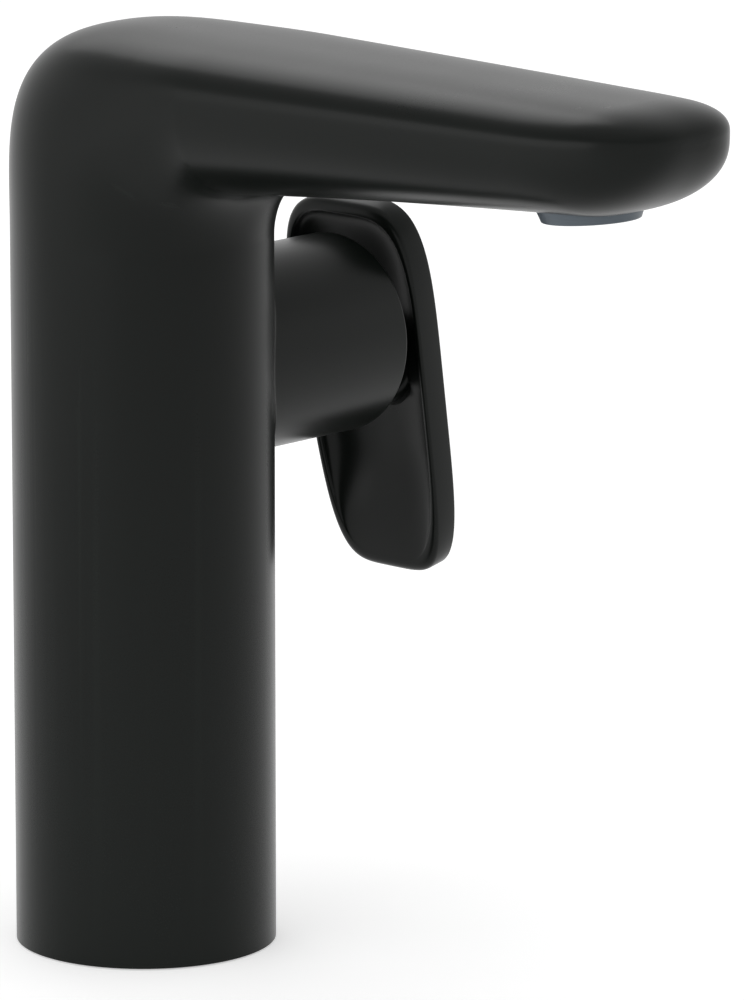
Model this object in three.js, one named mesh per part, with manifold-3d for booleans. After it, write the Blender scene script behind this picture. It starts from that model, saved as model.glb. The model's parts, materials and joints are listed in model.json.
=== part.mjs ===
// Single lever basin mixer with a tall round column, a soft flat spout and a paddle lever on one side.
// Millimetres, +Z up. The origin is the centre of the column on the deck, the spout points to -Y,
// and the valve hub with its lever points to +X.
import * as THREE from 'three';
import { mergeVertices } from 'three/addons/utils/BufferGeometryUtils.js';
import Module from 'manifold-3d';

const wasm = await Module();
wasm.setup();

// Running values that every sub-part shares
const fit_gap = 0.3;
const running_gap = 0.15;
const cut_overrun = 2;
const merge_distance = 0.0005;
const large_facets = 28;
const small_facets = 16;
const tiny_facets = 12;

// Column
const column_radius = 27.5;
const casting_wall = 2.6;
const casting_foot = 0.3;

// Spout, side view
const spout_root_under = 163.4;
const spout_root_depth = 33.6;
const spout_tip_rise = 9.6;
const spout_tip_depth = 21.1;
const underside_bow_share = 0.43;
const spout_reach = 151;
const fillet_depth = 8.4;
const fillet_height = 13;
const crown_depth = 46;
const crown_back_rise = 4.7;
const crown_power = 3.34;

// Spout, plan and section
const spout_tip_half = 21.9;
const taper_power = 1.21;
const tip_plan_length = 31.7;
const tip_plan_power = 2.88;
const tip_top_length = 16.1;
const tip_top_power = 2.2;
const tip_under_length = 20.4;
const tip_under_power = 2;
const tip_nose_share = 0.71;
const tip_end_share = 0.977;
const section_top_power = 2.8;
const section_under_power = 2.71;
const section_tip_power = 2.9;
const section_middle_share = 0.67;
const bend_middle_share = -0.06;
const bend_under_power = 0.35;
const casting_facets = 36;
const casting_inner_facets = 24;

// Valve hub
const hub_drop = 41.4;
const hub_radius = 21.4;
const hub_bore_radius = 19.2;
const hub_mouth_depth = 14.9;
const hub_edge = 0.7;
const seat_boss_radius = 9;

// Base
const gasket_setback = 1.5;
const gasket_width = 6.5;
const gasket_height = 2.4;
const base_plate_height = 16;
const hose_bore_radius = 4.6;
const hose_bore_depth = 7.5;
const tube_socket_depth = 4;
const inlet_spacing = 12;
const inlet_setback = 6;
const stud_bore_radius = 3.4;
const stud_bore_depth = 12;
const stud_setoff = 11;

// Water tubes
const tube_radius = 4;
const tube_bore_radius = 3;
const tube_entry = 5;
const spout_tube_bend = 16;
const spout_tube_steps = 16;
const tube_corner_share = 0.3;
const tube_straight_share = 0.85;
const tube_height_share = 0.6;

// Valve housing and the cartridge in it, in a row outwards from the risers
const riser_depth = 10;
const housing_clearance = 0.5;
const housing_back_gap = 6;
const housing_bore_radius = 17.8;
const port_radius = 2.6;
const inlet_port_drop = 4.5;
const outlet_port_rise = 6.5;
const cartridge_radius = 17.5;
const base_flange_thickness = 2.7;
const base_spigot_thickness = 2.3;
const port_seal_width = 1.5;
const port_seal_height = 1.1;
const fixed_disc_thickness = 3.5;
const moving_disc_radius = 12.2;
const moving_disc_thickness = 3.6;
const mixing_pocket_depth = 2.2;
const carrier_radius = 12.4;
const carrier_thickness = 4.2;
const case_bore_radius = 15.1;
const case_roof = 2.4;
const rotor_height = 11.6;
const rotor_neck_radius = 11.1;
const rotor_neck_height = 4;
const rotor_rib_width = 2;
const rotor_rib_depth = 1.6;
const rotor_rib_setoff = 8;
const nut_height = 8;
const nut_bore_radius = 12.6;
const nut_slot_width = 4;
const nut_slot_depth = 2.5;
const nut_slots = 6;

// Stem, with its pivot on the hub's axis
const pivot_cover = 2.8;
const stem_width = 7;
const ball_depth = 1.3;
const stem_neck_width = 3.2;
const stem_shoulder = 5;
const stem_ball_radius = 2.6;
const stem_overlap = 2.7;
const pin_radius = 1.5;
const pin_setback = 1.3;
const closed_angle = THREE.MathUtils.degToRad(12.5);

// Dome ring in the hub's mouth
const dome_standoff = 10;
const dome_wall = 2.2;
const dome_hole_radius = 14;
const dome_skirt = 3;

// Lever paddle
const lever_standoff = 6.6;
const lever_lean = THREE.MathUtils.degToRad(11.2);
const lever_half_width = 17.8;
const lever_taper = 2.05;
const lever_half_length = 42.3;
const lever_drop = 14;
const lever_lower_power = 4.7;
const lever_upper_power = 4.1;
const lever_edge_depth = 5.9;
const lever_bulge = 3.6;
const lever_lip = 1.5;
const lever_lip_round = 0.7;
const lever_end_round = 2;
const dish_power = 3;
const dish_fade_share = 0.68;
const lever_wall = 2.6;
const lever_facets = 36;
const lever_boss_radius = 6.8;
const lever_boss_length = 17.8;
const screw_radius = 2;
const screw_setback = 1.3;
const screw_key_radius = 1.1;
const screw_key_depth = 1.4;

// Aerator, measured up its own tilted axis from the outlet
const aerator_setback = 27;
const aerator_tilt = THREE.MathUtils.degToRad(4.8);
const aerator_drop = 1.8;
const aerator_rim_radius = 10.1;
const aerator_radius = 10.9;
const aerator_length = 9;
const aerator_show = 2.7;
const aerator_mouth_radius = 7.6;
const aerator_bore_radius = 8.8;
const aerator_ledge = 1.2;
const aerator_seat_radius = 12.4;
const aerator_boss_radius = 14;
const aerator_gasket_height = 1.5;
const aerator_screen_thickness = 1;
const aerator_hole_radius = 0.9;
const aerator_hole_pitch = 2.6;
const aerator_jet_radius = 1.2;
const aerator_jets = 8;
const jet_circle_share = 0.6;
const plenum_radius = 8;
const plenum_height = 9.5;

// Values that follow from the sizes above
const column_top = spout_root_under + spout_root_depth;
const spout_tip_under = spout_root_under + spout_tip_rise;
const spout_tip_top = spout_tip_under + spout_tip_depth;
const hub_height = spout_root_under - hub_drop;
const aerator_reach = spout_reach - aerator_setback;
const aerator_outlet_height = underAt(aerator_reach) - aerator_drop;
const gasket_outer = column_radius - gasket_setback;
const gasket_inner = gasket_outer - gasket_width;
const housing_radius = hub_bore_radius - fit_gap;
const housing_reach = column_radius - casting_wall - housing_clearance;
const housing_back = housing_reach - housing_back_gap;
const housing_face = riser_depth - inlet_setback;
const socket_radius = tube_radius + fit_gap;
const base_plate_low = gasket_height + fit_gap;
const base_plate_top = base_plate_low + base_plate_height;
const housing_socket = housing_radius - tube_entry;
const base_low = housing_face + fit_gap;
const base_shoulder = base_low + base_flange_thickness;
const base_top = base_shoulder + base_spigot_thickness;
const fixed_low = base_top + running_gap;
const moving_low = fixed_low + fixed_disc_thickness + running_gap;
const carrier_low = moving_low + moving_disc_thickness + running_gap;
const rotor_low = carrier_low + carrier_thickness + running_gap;
const rotor_shoulder = rotor_low + rotor_height;
const roof_low = rotor_shoulder + fit_gap;
const roof_top = roof_low + case_roof;
const nut_low = roof_top + fit_gap;
const nut_top = nut_low + nut_height;
const hub_reach = nut_top + hub_mouth_depth;
const lever_reach = hub_reach + lever_standoff;
const pivot_reach = rotor_shoulder - pivot_cover;
const dome_radius = Math.hypot(nut_top + dome_standoff - pivot_reach, housing_radius);
const stem_inner_length = (pivot_reach - rotor_low + running_gap + ball_depth) / Math.cos(closed_angle);
const closed_shift = stem_inner_length * Math.sin(closed_angle);
const stem_outer_length = lever_reach - pivot_reach + stem_overlap;
const lever_boss_start = lever_reach - pivot_reach - lever_boss_length;
const screw_place = lever_reach - pivot_reach - screw_setback;
const sleeve_radius = case_bore_radius - fit_gap;
const pin_length = 2 * (sleeve_radius - pin_setback);
const pocket_top = aerator_length + running_gap + aerator_gasket_height + running_gap;

// Finishes
function finish(colour, roughness, metalness) {
  return new THREE.MeshStandardMaterial({ color: colour, roughness, metalness });
}

function mattBlack() {
  return finish(0x222423, 0.45, 0.1);
}

function brass() {
  return finish(0xb08d4c, 0.35, 0.9);
}

function whitePlastic() {
  return finish(0xe4e2da, 0.5, 0);
}

function blackRubber() {
  return finish(0x151515, 0.85, 0);
}

function ceramic() {
  return finish(0xf1efe8, 0.2, 0);
}

function steel() {
  return finish(0xa9abad, 0.3, 0.95);
}

// Solids and meshes
function toSolid(geometry) {
  const bare = geometry.index ? geometry.toNonIndexed() : geometry.clone();
  bare.deleteAttribute('normal');
  bare.deleteAttribute('uv');
  const merged = mergeVertices(bare, merge_distance);
  const corners = Array.from(merged.index.array);
  const kept = [];
  for (let i = 0; i < corners.length; i += 3) {
    const [a, b, c] = corners.slice(i, i + 3);
    if (a !== b && b !== c && a !== c) kept.push(a, b, c);
  }
  return new wasm.Manifold(new wasm.Mesh({
    numProp: 3,
    vertProperties: new Float32Array(merged.attributes.position.array),
    triVerts: new Uint32Array(kept),
  }));
}

function toGeometry(solid) {
  const made = solid.getMesh();
  const geometry = new THREE.BufferGeometry();
  geometry.setAttribute('position', new THREE.BufferAttribute(made.vertProperties, 3));
  geometry.setIndex(new THREE.BufferAttribute(made.triVerts, 1));
  return geometry;
}

function namedMesh(name, solid, material) {
  const geometry = toGeometry(solid);
  geometry.computeVertexNormals();
  const mesh = new THREE.Mesh(geometry, material);
  mesh.name = name;
  return mesh;
}

function moved(solid, matrix) {
  return toSolid(toGeometry(solid).applyMatrix4(matrix));
}

function shifted(solid, x, y, z) {
  return moved(solid, new THREE.Matrix4().makeTranslation(x, y, z));
}

// Turns a closed outline of [radius, height] pairs, counter-clockwise, about +Z.
function revolve(outline, facets) {
  const points = outline.map(([radius, height]) => new THREE.Vector2(radius, height));
  if (points[0].x > 0) points.push(points[0].clone());
  return toSolid(new THREE.LatheGeometry(points, facets).rotateX(Math.PI / 2));
}

function rod(radius, low, high, facets = large_facets) {
  return revolve([[0, low], [radius, low], [radius, high], [0, high]], facets);
}

function ring(inner, outer, low, high, facets = large_facets) {
  return revolve([[inner, low], [outer, low], [outer, high], [inner, high]], facets);
}

function block(x, y, low, high) {
  return toSolid(new THREE.BoxGeometry(x, y, high - low).translate(0, 0, (low + high) / 2));
}

// Turns what stands along +Z so that it lies along +X.
function alongX(solid) {
  return moved(solid, new THREE.Matrix4().makeRotationY(Math.PI / 2));
}

// Turns what stands along +Z so that it lies along -Y.
function alongFront(solid) {
  return moved(solid, new THREE.Matrix4().makeRotationX(Math.PI / 2));
}

function roundPoints(x, y, radius, facets) {
  const points = [];
  for (let i = 0; i < facets; i += 1) {
    const angle = 2 * Math.PI * i / facets;
    points.push(new THREE.Vector2(x + radius * Math.cos(angle), y + radius * Math.sin(angle)));
  }
  return points;
}

// A slot with round ends, from one end to the other along x, standing from low to high.
function slot(start, end, half, low, high) {
  const outline = new THREE.Shape();
  outline.absarc(end - half, 0, half, -Math.PI / 2, Math.PI / 2);
  outline.absarc(start + half, 0, half, Math.PI / 2, 3 * Math.PI / 2);
  outline.closePath();
  const settings = { depth: high - low, bevelEnabled: false, curveSegments: small_facets / 2 };
  return toSolid(new THREE.ExtrudeGeometry(outline, settings).translate(0, 0, low));
}

// Skins a row of closed sections, each a list of points, and caps both ends with a fan.
function loft(sections) {
  const count = sections[0].length;
  const positions = [];
  for (const section of sections) {
    for (const point of section) positions.push(point.x, point.y, point.z);
  }
  for (const section of [sections[0], sections[sections.length - 1]]) {
    const centre = new THREE.Vector3();
    for (const point of section) centre.addScaledVector(point, 1 / count);
    positions.push(centre.x, centre.y, centre.z);
  }
  const faces = [];
  for (let row = 0; row + 1 < sections.length; row += 1) {
    for (let i = 0; i < count; i += 1) {
      const a = row * count + i;
      const b = row * count + (i + 1) % count;
      faces.push(a, b, b + count, a, b + count, a + count);
    }
  }
  const first_centre = sections.length * count;
  const last_row = first_centre - count;
  for (let i = 0; i < count; i += 1) {
    const next = (i + 1) % count;
    faces.push(first_centre, next, i);
    faces.push(first_centre + 1, last_row + i, last_row + next);
  }
  const geometry = new THREE.BufferGeometry();
  geometry.setAttribute('position', new THREE.Float32BufferAttribute(positions, 3));
  geometry.setIndex(faces);
  return toSolid(geometry);
}

function clampShare(value) {
  return Math.min(Math.max(value, 0), 1);
}

function softPower(value, power) {
  return Math.sign(value) * Math.abs(value) ** (2 / power);
}

function roundedFall(run, power) {
  return (1 - clampShare(run) ** power) ** (1 / power);
}

function mix(from, to, run) {
  return from + (to - from) * run;
}

// Side and plan view of the spout, at a reach from the column's axis
function topAt(reach) {
  return mix(column_top, spout_tip_top, reach / spout_reach);
}

function underAt(reach) {
  const run = (reach - column_radius) / (spout_reach - column_radius);
  return mix(spout_root_under, spout_tip_under, run * (1 + underside_bow_share * (1 - run)));
}

function halfWidthAt(reach) {
  const run = clampShare((reach - column_radius) / (spout_reach - column_radius));
  return mix(column_radius, spout_tip_half, run ** taper_power);
}

// One closed section across the casting, from its low point to its high point in the side view
function castingSection(facets, half, low, high, middle_share, under_power, top_power) {
  const points = [];
  for (let i = 0; i < facets; i += 1) {
    const angle = 2 * Math.PI * i / facets;
    const power = i < facets / 2 ? top_power : under_power;
    const rise = softPower(Math.sin(angle), power);
    const run = rise > 0 ? mix(middle_share, 1, rise) : middle_share * (1 + rise);
    const half_here = half * softPower(Math.cos(angle), power);
    points.push(new THREE.Vector3(half_here, mix(low.x, high.x, run), mix(low.y, high.y, run)));
  }
  return points;
}

// Outer line of the side view, from the column's back over the crown to the root of the spout
function crownOutline(start_height, root) {
  const back_steps = 2;
  const crown_steps = 11;
  const roof_steps = 5;
  const back_top = start_height + crown_back_rise;
  const crown_height = topAt(-column_radius) - back_top;
  const crown_start = column_radius - crown_depth;
  const points = [];
  for (let i = 0; i < back_steps; i += 1) {
    points.push(new THREE.Vector2(column_radius, mix(start_height, back_top, i / back_steps)));
  }
  for (let i = 0; i <= crown_steps; i += 1) {
    const angle = Math.PI / 2 * i / crown_steps;
    const y = crown_start + crown_depth * softPower(Math.cos(angle), crown_power);
    const fall = crown_height * (1 - softPower(Math.sin(angle), crown_power));
    points.push(new THREE.Vector2(y, topAt(-y) - fall));
  }
  for (let i = 1; i <= roof_steps; i += 1) {
    const y = mix(crown_start, -root, i / roof_steps);
    points.push(new THREE.Vector2(y, topAt(-y)));
  }
  return points;
}

// Sections of the bend, which fan out from a pivot in the corner below the spout
function bendSections(inset, facets) {
  const root = column_radius + fillet_depth;
  const pivot = new THREE.Vector2(-root, underAt(root) - fillet_height);
  return crownOutline(pivot.y, root).map((outer) => {
    const ray = outer.clone().sub(pivot);
    const angle = ray.angle();
    const turn = angle / (Math.PI / 2);
    const blend = turn * turn * (3 - 2 * turn);
    const near = 1 / Math.hypot(Math.cos(angle) / fillet_depth, Math.sin(angle) / fillet_height);
    const direction = ray.clone().normalize();
    const low = pivot.clone().addScaledVector(direction, near + inset);
    const high = pivot.clone().addScaledVector(direction, ray.length() - inset);
    const half = mix(column_radius, halfWidthAt(root), blend) - inset;
    const bump = 4 * turn * (1 - turn);
    const middle_share = mix(0.5, section_middle_share, blend) + bend_middle_share * bump;
    const under_power = mix(2, section_under_power, blend) + bend_under_power * bump;
    const top_power = mix(2, section_top_power, blend);
    return castingSection(facets, half, low, high, middle_share, under_power, top_power);
  });
}

// Sections of the spout, closer together where its tip rounds off
function spoutSections(inset, facets) {
  const steps = 17;
  const root = column_radius + fillet_depth;
  const end = spout_reach - inset;
  const nose = mix(underAt(spout_reach), topAt(spout_reach), tip_nose_share);
  const sections = [];
  for (let i = 1; i <= steps; i += 1) {
    const reach = mix(root, end, Math.sin(Math.PI / 2 * tip_end_share * i / steps));
    const left = end - reach;
    const plan_run = 1 - left / tip_plan_length;
    const top_share = roundedFall(1 - left / tip_top_length, tip_top_power);
    const top = mix(nose, topAt(reach) - inset, top_share);
    const under_share = roundedFall(1 - left / tip_under_length, tip_under_power);
    const under = mix(nose, underAt(reach) + inset, under_share);
    const half = (halfWidthAt(reach) - inset) * roundedFall(plan_run, tip_plan_power);
    const tip_run = clampShare(plan_run);
    const middle_share = mix(section_middle_share, (nose - under) / (top - under), tip_run ** 2);
    sections.push(castingSection(facets, half,
      new THREE.Vector2(-reach, under), new THREE.Vector2(-reach, top), middle_share,
      mix(section_under_power, section_tip_power, tip_run),
      mix(section_top_power, section_tip_power, tip_run)));
  }
  return sections;
}

// Column, bend and spout in one skin.
// The hollow is drawn in by the wall and keeps one section in every stride.
function castingSkin(inset, facets, foot, stride) {
  const radius = column_radius - inset;
  const front = new THREE.Vector2(-radius, foot);
  const back = new THREE.Vector2(radius, foot);
  const column = castingSection(facets, radius, front, back, 0.5, 2, 2);
  const sections = [column, ...bendSections(inset, facets), ...spoutSections(inset, facets)];
  return loft(sections.filter((section, i) => i % stride === 0 || i === sections.length - 1));
}

// Places of the hub, the stem, the paddle and the aerator
const hub_frame = new THREE.Matrix4().makeTranslation(0, 0, hub_height)
  .multiply(new THREE.Matrix4().makeRotationY(Math.PI / 2));
const stem_frame = new THREE.Matrix4().makeTranslation(0, 0, pivot_reach)
  .multiply(new THREE.Matrix4().makeRotationY(closed_angle));
const paddle_frame = new THREE.Matrix4().makeTranslation(0, 0, lever_reach)
  .multiply(new THREE.Matrix4().makeRotationY(-lever_lean));
const aerator_frame = new THREE.Matrix4().makeTranslation(0, -aerator_reach, aerator_outlet_height)
  .multiply(new THREE.Matrix4().makeRotationX(-aerator_tilt));

// From the valve housing up the column, round a bend and along the spout
function tubePoint(x, reach) {
  return new THREE.Vector3(x, -reach, mix(underAt(reach), topAt(reach), tube_height_share));
}

function spoutTubeRoute() {
  const bend = tubePoint(-inlet_setback, spout_tube_bend);
  const bend_foot = bend.z - spout_tube_bend;
  const corner = spout_tube_bend * tube_corner_share;
  const start = hub_height + housing_socket + fit_gap;
  const end = aerator_reach - plenum_radius - cut_overrun;
  return new THREE.CatmullRomCurve3([
    new THREE.Vector3(-inlet_setback, 0, start),
    new THREE.Vector3(-inlet_setback, 0, mix(start, bend_foot, 0.5)),
    new THREE.Vector3(-inlet_setback, 0, bend_foot),
    new THREE.Vector3(-inlet_setback, -corner, bend.z - corner),
    bend,
    tubePoint(-inlet_setback / 2, mix(spout_tube_bend, end, 0.5)),
    tubePoint(0, mix(spout_tube_bend, end, tube_straight_share)),
    tubePoint(0, end),
  ]);
}

function makeBodyCasting() {
  const skin = castingSkin(0, casting_facets, casting_foot, 1);
  const hollow = castingSkin(casting_wall, casting_inner_facets, casting_foot - cut_overrun, 2);
  const foot_bore = rod(column_radius - casting_wall, -cut_overrun, base_plate_top + fit_gap);
  const hub = moved(revolve([[0, 0], [hub_radius, 0], [hub_radius, hub_reach - hub_edge],
    [hub_radius - hub_edge, hub_reach], [0, hub_reach]], casting_facets), hub_frame);
  const hub_bore = moved(rod(hub_bore_radius, 0, hub_reach + cut_overrun), hub_frame);
  const seat_boss_rod = rod(seat_boss_radius, -column_radius, -housing_back - fit_gap, small_facets);
  const seat_boss = moved(seat_boss_rod, hub_frame);
  const aerator_boss = moved(rod(aerator_boss_radius, 0, column_radius), aerator_frame);
  const seat_face = moved(rod(aerator_seat_radius, -column_radius, aerator_show), aerator_frame);
  const pocket = moved(rod(aerator_radius + fit_gap, 0, pocket_top), aerator_frame);
  const plenum = moved(rod(plenum_radius, 0, pocket_top + plenum_height, small_facets), aerator_frame);
  const tube_hole_length = aerator_boss_radius + cut_overrun;
  const tube_hole = shifted(alongFront(rod(socket_radius, 0, tube_hole_length, small_facets)),
    0, tube_hole_length - aerator_reach, spoutTubeRoute().getPoint(1).z);
  const gasket_rebate = rod(gasket_outer + fit_gap, -cut_overrun, base_plate_low);
  return skin.add(hub)
    .subtract(hollow)
    .subtract(hub_bore)
    .add(seat_boss.intersect(skin))
    .add(aerator_boss.intersect(skin))
    .subtract(seat_face)
    .subtract(pocket)
    .subtract(plenum)
    .subtract(tube_hole)
    .subtract(foot_bore)
    .subtract(gasket_rebate);
}

function makeBaseGasket() {
  return ring(gasket_inner, gasket_outer, 0, gasket_height);
}

function inletPlaces() {
  return [-inlet_spacing / 2, inlet_spacing / 2];
}

// Brass plug of the column's foot, with the two hose threads and the stud thread
function makeBasePlate() {
  const under = base_plate_low - cut_overrun;
  const socket_low = base_plate_top - tube_socket_depth;
  const hose_bore = rod(hose_bore_radius, under, base_plate_low + hose_bore_depth, small_facets);
  const water_way = rod(tube_bore_radius, base_plate_low, base_plate_top, tiny_facets);
  const socket = rod(socket_radius, socket_low, base_plate_top + cut_overrun, small_facets);
  const stud_bore = rod(stud_bore_radius, under, base_plate_low + stud_bore_depth, small_facets);
  let plate = rod(column_radius - casting_wall - fit_gap, base_plate_low, base_plate_top)
    .subtract(shifted(stud_bore, stud_setoff, 0, 0));
  for (const y of inletPlaces()) {
    for (const cut of [hose_bore, water_way, socket]) {
      plate = plate.subtract(shifted(cut, -inlet_setback, y, 0));
    }
  }
  return plate;
}

function makeInletTube() {
  const low = base_plate_top - tube_socket_depth + fit_gap;
  const high = hub_height - housing_socket - fit_gap;
  return ring(tube_bore_radius, tube_radius, low, high, small_facets);
}

function makeSpoutTube() {
  const shape = new THREE.Shape();
  shape.absarc(0, 0, tube_radius, 0, 2 * Math.PI);
  const bore = new THREE.Path();
  bore.absarc(0, 0, tube_bore_radius, 0, 2 * Math.PI);
  shape.holes.push(bore);
  const settings = {
    extrudePath: spoutTubeRoute(),
    steps: spout_tube_steps,
    curveSegments: tiny_facets / 2,
    bevelEnabled: false,
  };
  return toSolid(new THREE.ExtrudeGeometry(shape, settings));
}

// From here to the dome ring, +Z is the hub's axis and +X points down.
function faceSpots() {
  return [
    [inlet_port_drop, -inlet_spacing / 2],
    [inlet_port_drop, inlet_spacing / 2],
    [-outlet_port_rise, 0],
  ];
}

// The back end is rounded to the column's inside, from its flat back to its full width.
function makeValveHousing() {
  const steps = 3;
  const back_angle = Math.acos(housing_back / housing_reach);
  const side_angle = Math.asin(housing_radius / housing_reach);
  const outline = [[0, -housing_back]];
  for (let i = 0; i <= steps; i += 1) {
    const angle = mix(back_angle, side_angle, i / steps);
    outline.push([housing_reach * Math.sin(angle), -housing_reach * Math.cos(angle)]);
  }
  outline.push([housing_radius, roof_top], [housing_bore_radius, roof_top],
    [housing_bore_radius, housing_face], [0, housing_face]);
  let housing = revolve(outline, large_facets);
  for (const [x, y] of faceSpots()) {
    const side = Math.sign(x);
    const riser_top = housing_radius - Math.abs(x) + cut_overrun;
    const face_port = rod(port_radius, -inlet_setback - port_radius, housing_face + cut_overrun, tiny_facets);
    const riser = rod(port_radius, 0, riser_top, tiny_facets);
    const socket = rod(socket_radius, housing_socket - Math.abs(x), riser_top, small_facets);
    const turned = new THREE.Matrix4().makeTranslation(x, y, -inlet_setback)
      .multiply(new THREE.Matrix4().makeRotationY(side * Math.PI / 2));
    housing = housing
      .subtract(shifted(face_port, x, y, 0))
      .subtract(moved(riser, turned))
      .subtract(moved(socket, turned));
  }
  return housing;
}

function makePortSeal() {
  const low = housing_face + running_gap;
  const inner = port_radius + fit_gap;
  const outer = inner + port_seal_width;
  const middle = (inner + outer) / 2;
  const half_height = port_seal_height / 2;
  return revolve([[middle, low], [outer, low + half_height], [middle, low + port_seal_height],
    [inner, low + half_height]], small_facets);
}

function makeCartridgeBase() {
  const groove_radius = port_radius + port_seal_width + 2 * fit_gap;
  let base = revolve([[0, base_low], [housing_bore_radius - fit_gap, base_low],
    [housing_bore_radius - fit_gap, base_shoulder], [sleeve_radius, base_shoulder], [sleeve_radius, base_top],
    [0, base_top]], large_facets);
  const port = rod(port_radius, base_low - cut_overrun, base_top + cut_overrun, tiny_facets);
  const groove = rod(groove_radius, base_low - cut_overrun, base_low + port_seal_height, small_facets);
  for (const [x, y] of faceSpots()) {
    base = base.subtract(shifted(port, x, y, 0)).subtract(shifted(groove, x, y, 0));
  }
  return base;
}

function makeFixedDisc() {
  const high = fixed_low + fixed_disc_thickness;
  const cut_low = fixed_low - cut_overrun;
  const cut_high = high + cut_overrun;
  const port = rod(port_radius, cut_low, cut_high, small_facets);
  let disc = rod(sleeve_radius, fixed_low, high);
  for (const [x, y] of faceSpots().slice(0, 2)) {
    disc = disc.subtract(shifted(port, x, y, 0));
  }
  return disc.subtract(slot(-outlet_port_rise - port_radius, port_radius, port_radius, cut_low, cut_high));
}

// The round pocket is centred on the hub's axis when the lever is shut, so that turning opens nothing.
function makeMovingDisc() {
  const pocket_radius = Math.hypot(inlet_port_drop, inlet_spacing / 2) - port_radius - running_gap;
  const pocket = rod(pocket_radius, moving_low - cut_overrun, moving_low + mixing_pocket_depth, small_facets);
  return rod(moving_disc_radius, moving_low, moving_low + moving_disc_thickness)
    .subtract(shifted(pocket, closed_shift, 0, 0));
}

function ribs(width, depth, from) {
  const bar = block(2 * carrier_radius + 2 * cut_overrun, width, from - depth, from);
  return [-rotor_rib_setoff, rotor_rib_setoff].map((y) => shifted(bar, 0, y, 0));
}

function makeDiscCarrier() {
  const high = carrier_low + carrier_thickness;
  let carrier = rod(carrier_radius, carrier_low, high)
    .subtract(rod(stem_ball_radius + fit_gap, carrier_low - cut_overrun, high + cut_overrun, small_facets));
  for (const groove of ribs(rotor_rib_width + 2 * fit_gap, rotor_rib_depth + fit_gap, high)) {
    carrier = carrier.subtract(groove);
  }
  return carrier;
}

function makeRotor() {
  const neck_top = rotor_shoulder + rotor_neck_height;
  const stem_half = stem_width / 2 / Math.cos(closed_angle);
  const slot_half = stem_half + (neck_top - pivot_reach) * Math.tan(closed_angle) + fit_gap;
  const pin_hole_rod = rod(pin_radius + fit_gap, -cartridge_radius, cartridge_radius, small_facets);
  const pin_hole = shifted(alongFront(pin_hole_rod), 0, 0, pivot_reach);
  let rotor = revolve([[0, rotor_low], [sleeve_radius, rotor_low], [sleeve_radius, rotor_shoulder],
    [rotor_neck_radius, rotor_shoulder], [rotor_neck_radius, neck_top], [0, neck_top]], large_facets);
  const round = rod(carrier_radius, rotor_low - rotor_rib_depth - cut_overrun, rotor_low + cut_overrun);
  for (const rib of ribs(rotor_rib_width, rotor_rib_depth + running_gap, rotor_low)) {
    rotor = rotor.add(rib.intersect(round));
  }
  return rotor
    .subtract(block(2 * slot_half, stem_width + 2 * fit_gap, rotor_low - rotor_rib_depth - cut_overrun,
      neck_top + cut_overrun))
    .subtract(pin_hole);
}

function makeStemPin() {
  const pin = alongFront(rod(pin_radius, -pin_length / 2, pin_length / 2, tiny_facets));
  return shifted(pin, 0, 0, pivot_reach);
}

function makeCartridgeCase() {
  const outer = housing_bore_radius - fit_gap;
  const neck = rotor_neck_radius + fit_gap;
  return revolve([[case_bore_radius, base_shoulder + running_gap], [outer, base_shoulder + running_gap],
    [outer, roof_top], [neck, roof_top], [neck, roof_low], [case_bore_radius, roof_low]], large_facets);
}

function makeCartridgeNut() {
  let nut = ring(nut_bore_radius, housing_radius, nut_low, nut_top);
  for (let i = 0; i < nut_slots / 2; i += 1) {
    const cut = block(2 * hub_radius, nut_slot_width, nut_top - nut_slot_depth, nut_top + cut_overrun);
    nut = nut.subtract(moved(cut, new THREE.Matrix4().makeRotationZ(2 * Math.PI * i / nut_slots)));
  }
  return nut;
}

function makeDomeRing() {
  const steps = 3;
  const outer_arc = [];
  const inner_arc = [];
  for (let i = 0; i <= steps; i += 1) {
    const outer_radius = mix(housing_radius, dome_hole_radius, i / steps);
    const inner_radius = mix(dome_hole_radius, housing_radius - dome_wall, i / steps);
    const outer_rise = Math.sqrt(dome_radius ** 2 - outer_radius ** 2);
    const inner_rise = Math.sqrt((dome_radius - dome_wall) ** 2 - inner_radius ** 2);
    outer_arc.push([outer_radius, pivot_reach + outer_rise]);
    inner_arc.push([inner_radius, pivot_reach + inner_rise]);
  }
  const skirt_low = inner_arc[steps][1] - dome_skirt;
  const skirt = [[housing_radius - dome_wall, skirt_low], [housing_radius, skirt_low]];
  return revolve([...skirt, ...outer_arc, ...inner_arc], large_facets);
}

// In the stem's frame, +Z runs out along the stem from its pivot.
function makeStem() {
  const pin_hole = alongFront(rod(pin_radius + fit_gap, -stem_width, stem_width, small_facets));
  const ball = toSolid(new THREE.SphereGeometry(stem_ball_radius, tiny_facets, tiny_facets / 2));
  return block(stem_width, stem_width, -stem_shoulder, stem_outer_length)
    .add(block(stem_neck_width, stem_neck_width, -stem_inner_length, -stem_shoulder + cut_overrun))
    .add(shifted(ball, 0, 0, -stem_inner_length))
    .subtract(pin_hole);
}

function makeGrubScrew() {
  const low = stem_width / 2 + fit_gap;
  const high = lever_boss_radius - running_gap;
  const key = toSolid(new THREE.CylinderGeometry(screw_key_radius, screw_key_radius, 2 * screw_key_depth, 6)
    .rotateX(Math.PI / 2));
  const screw = rod(screw_radius, low, high, small_facets).subtract(shifted(key, 0, 0, high));
  return shifted(alongX(screw), 0, 0, screw_place);
}

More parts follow.
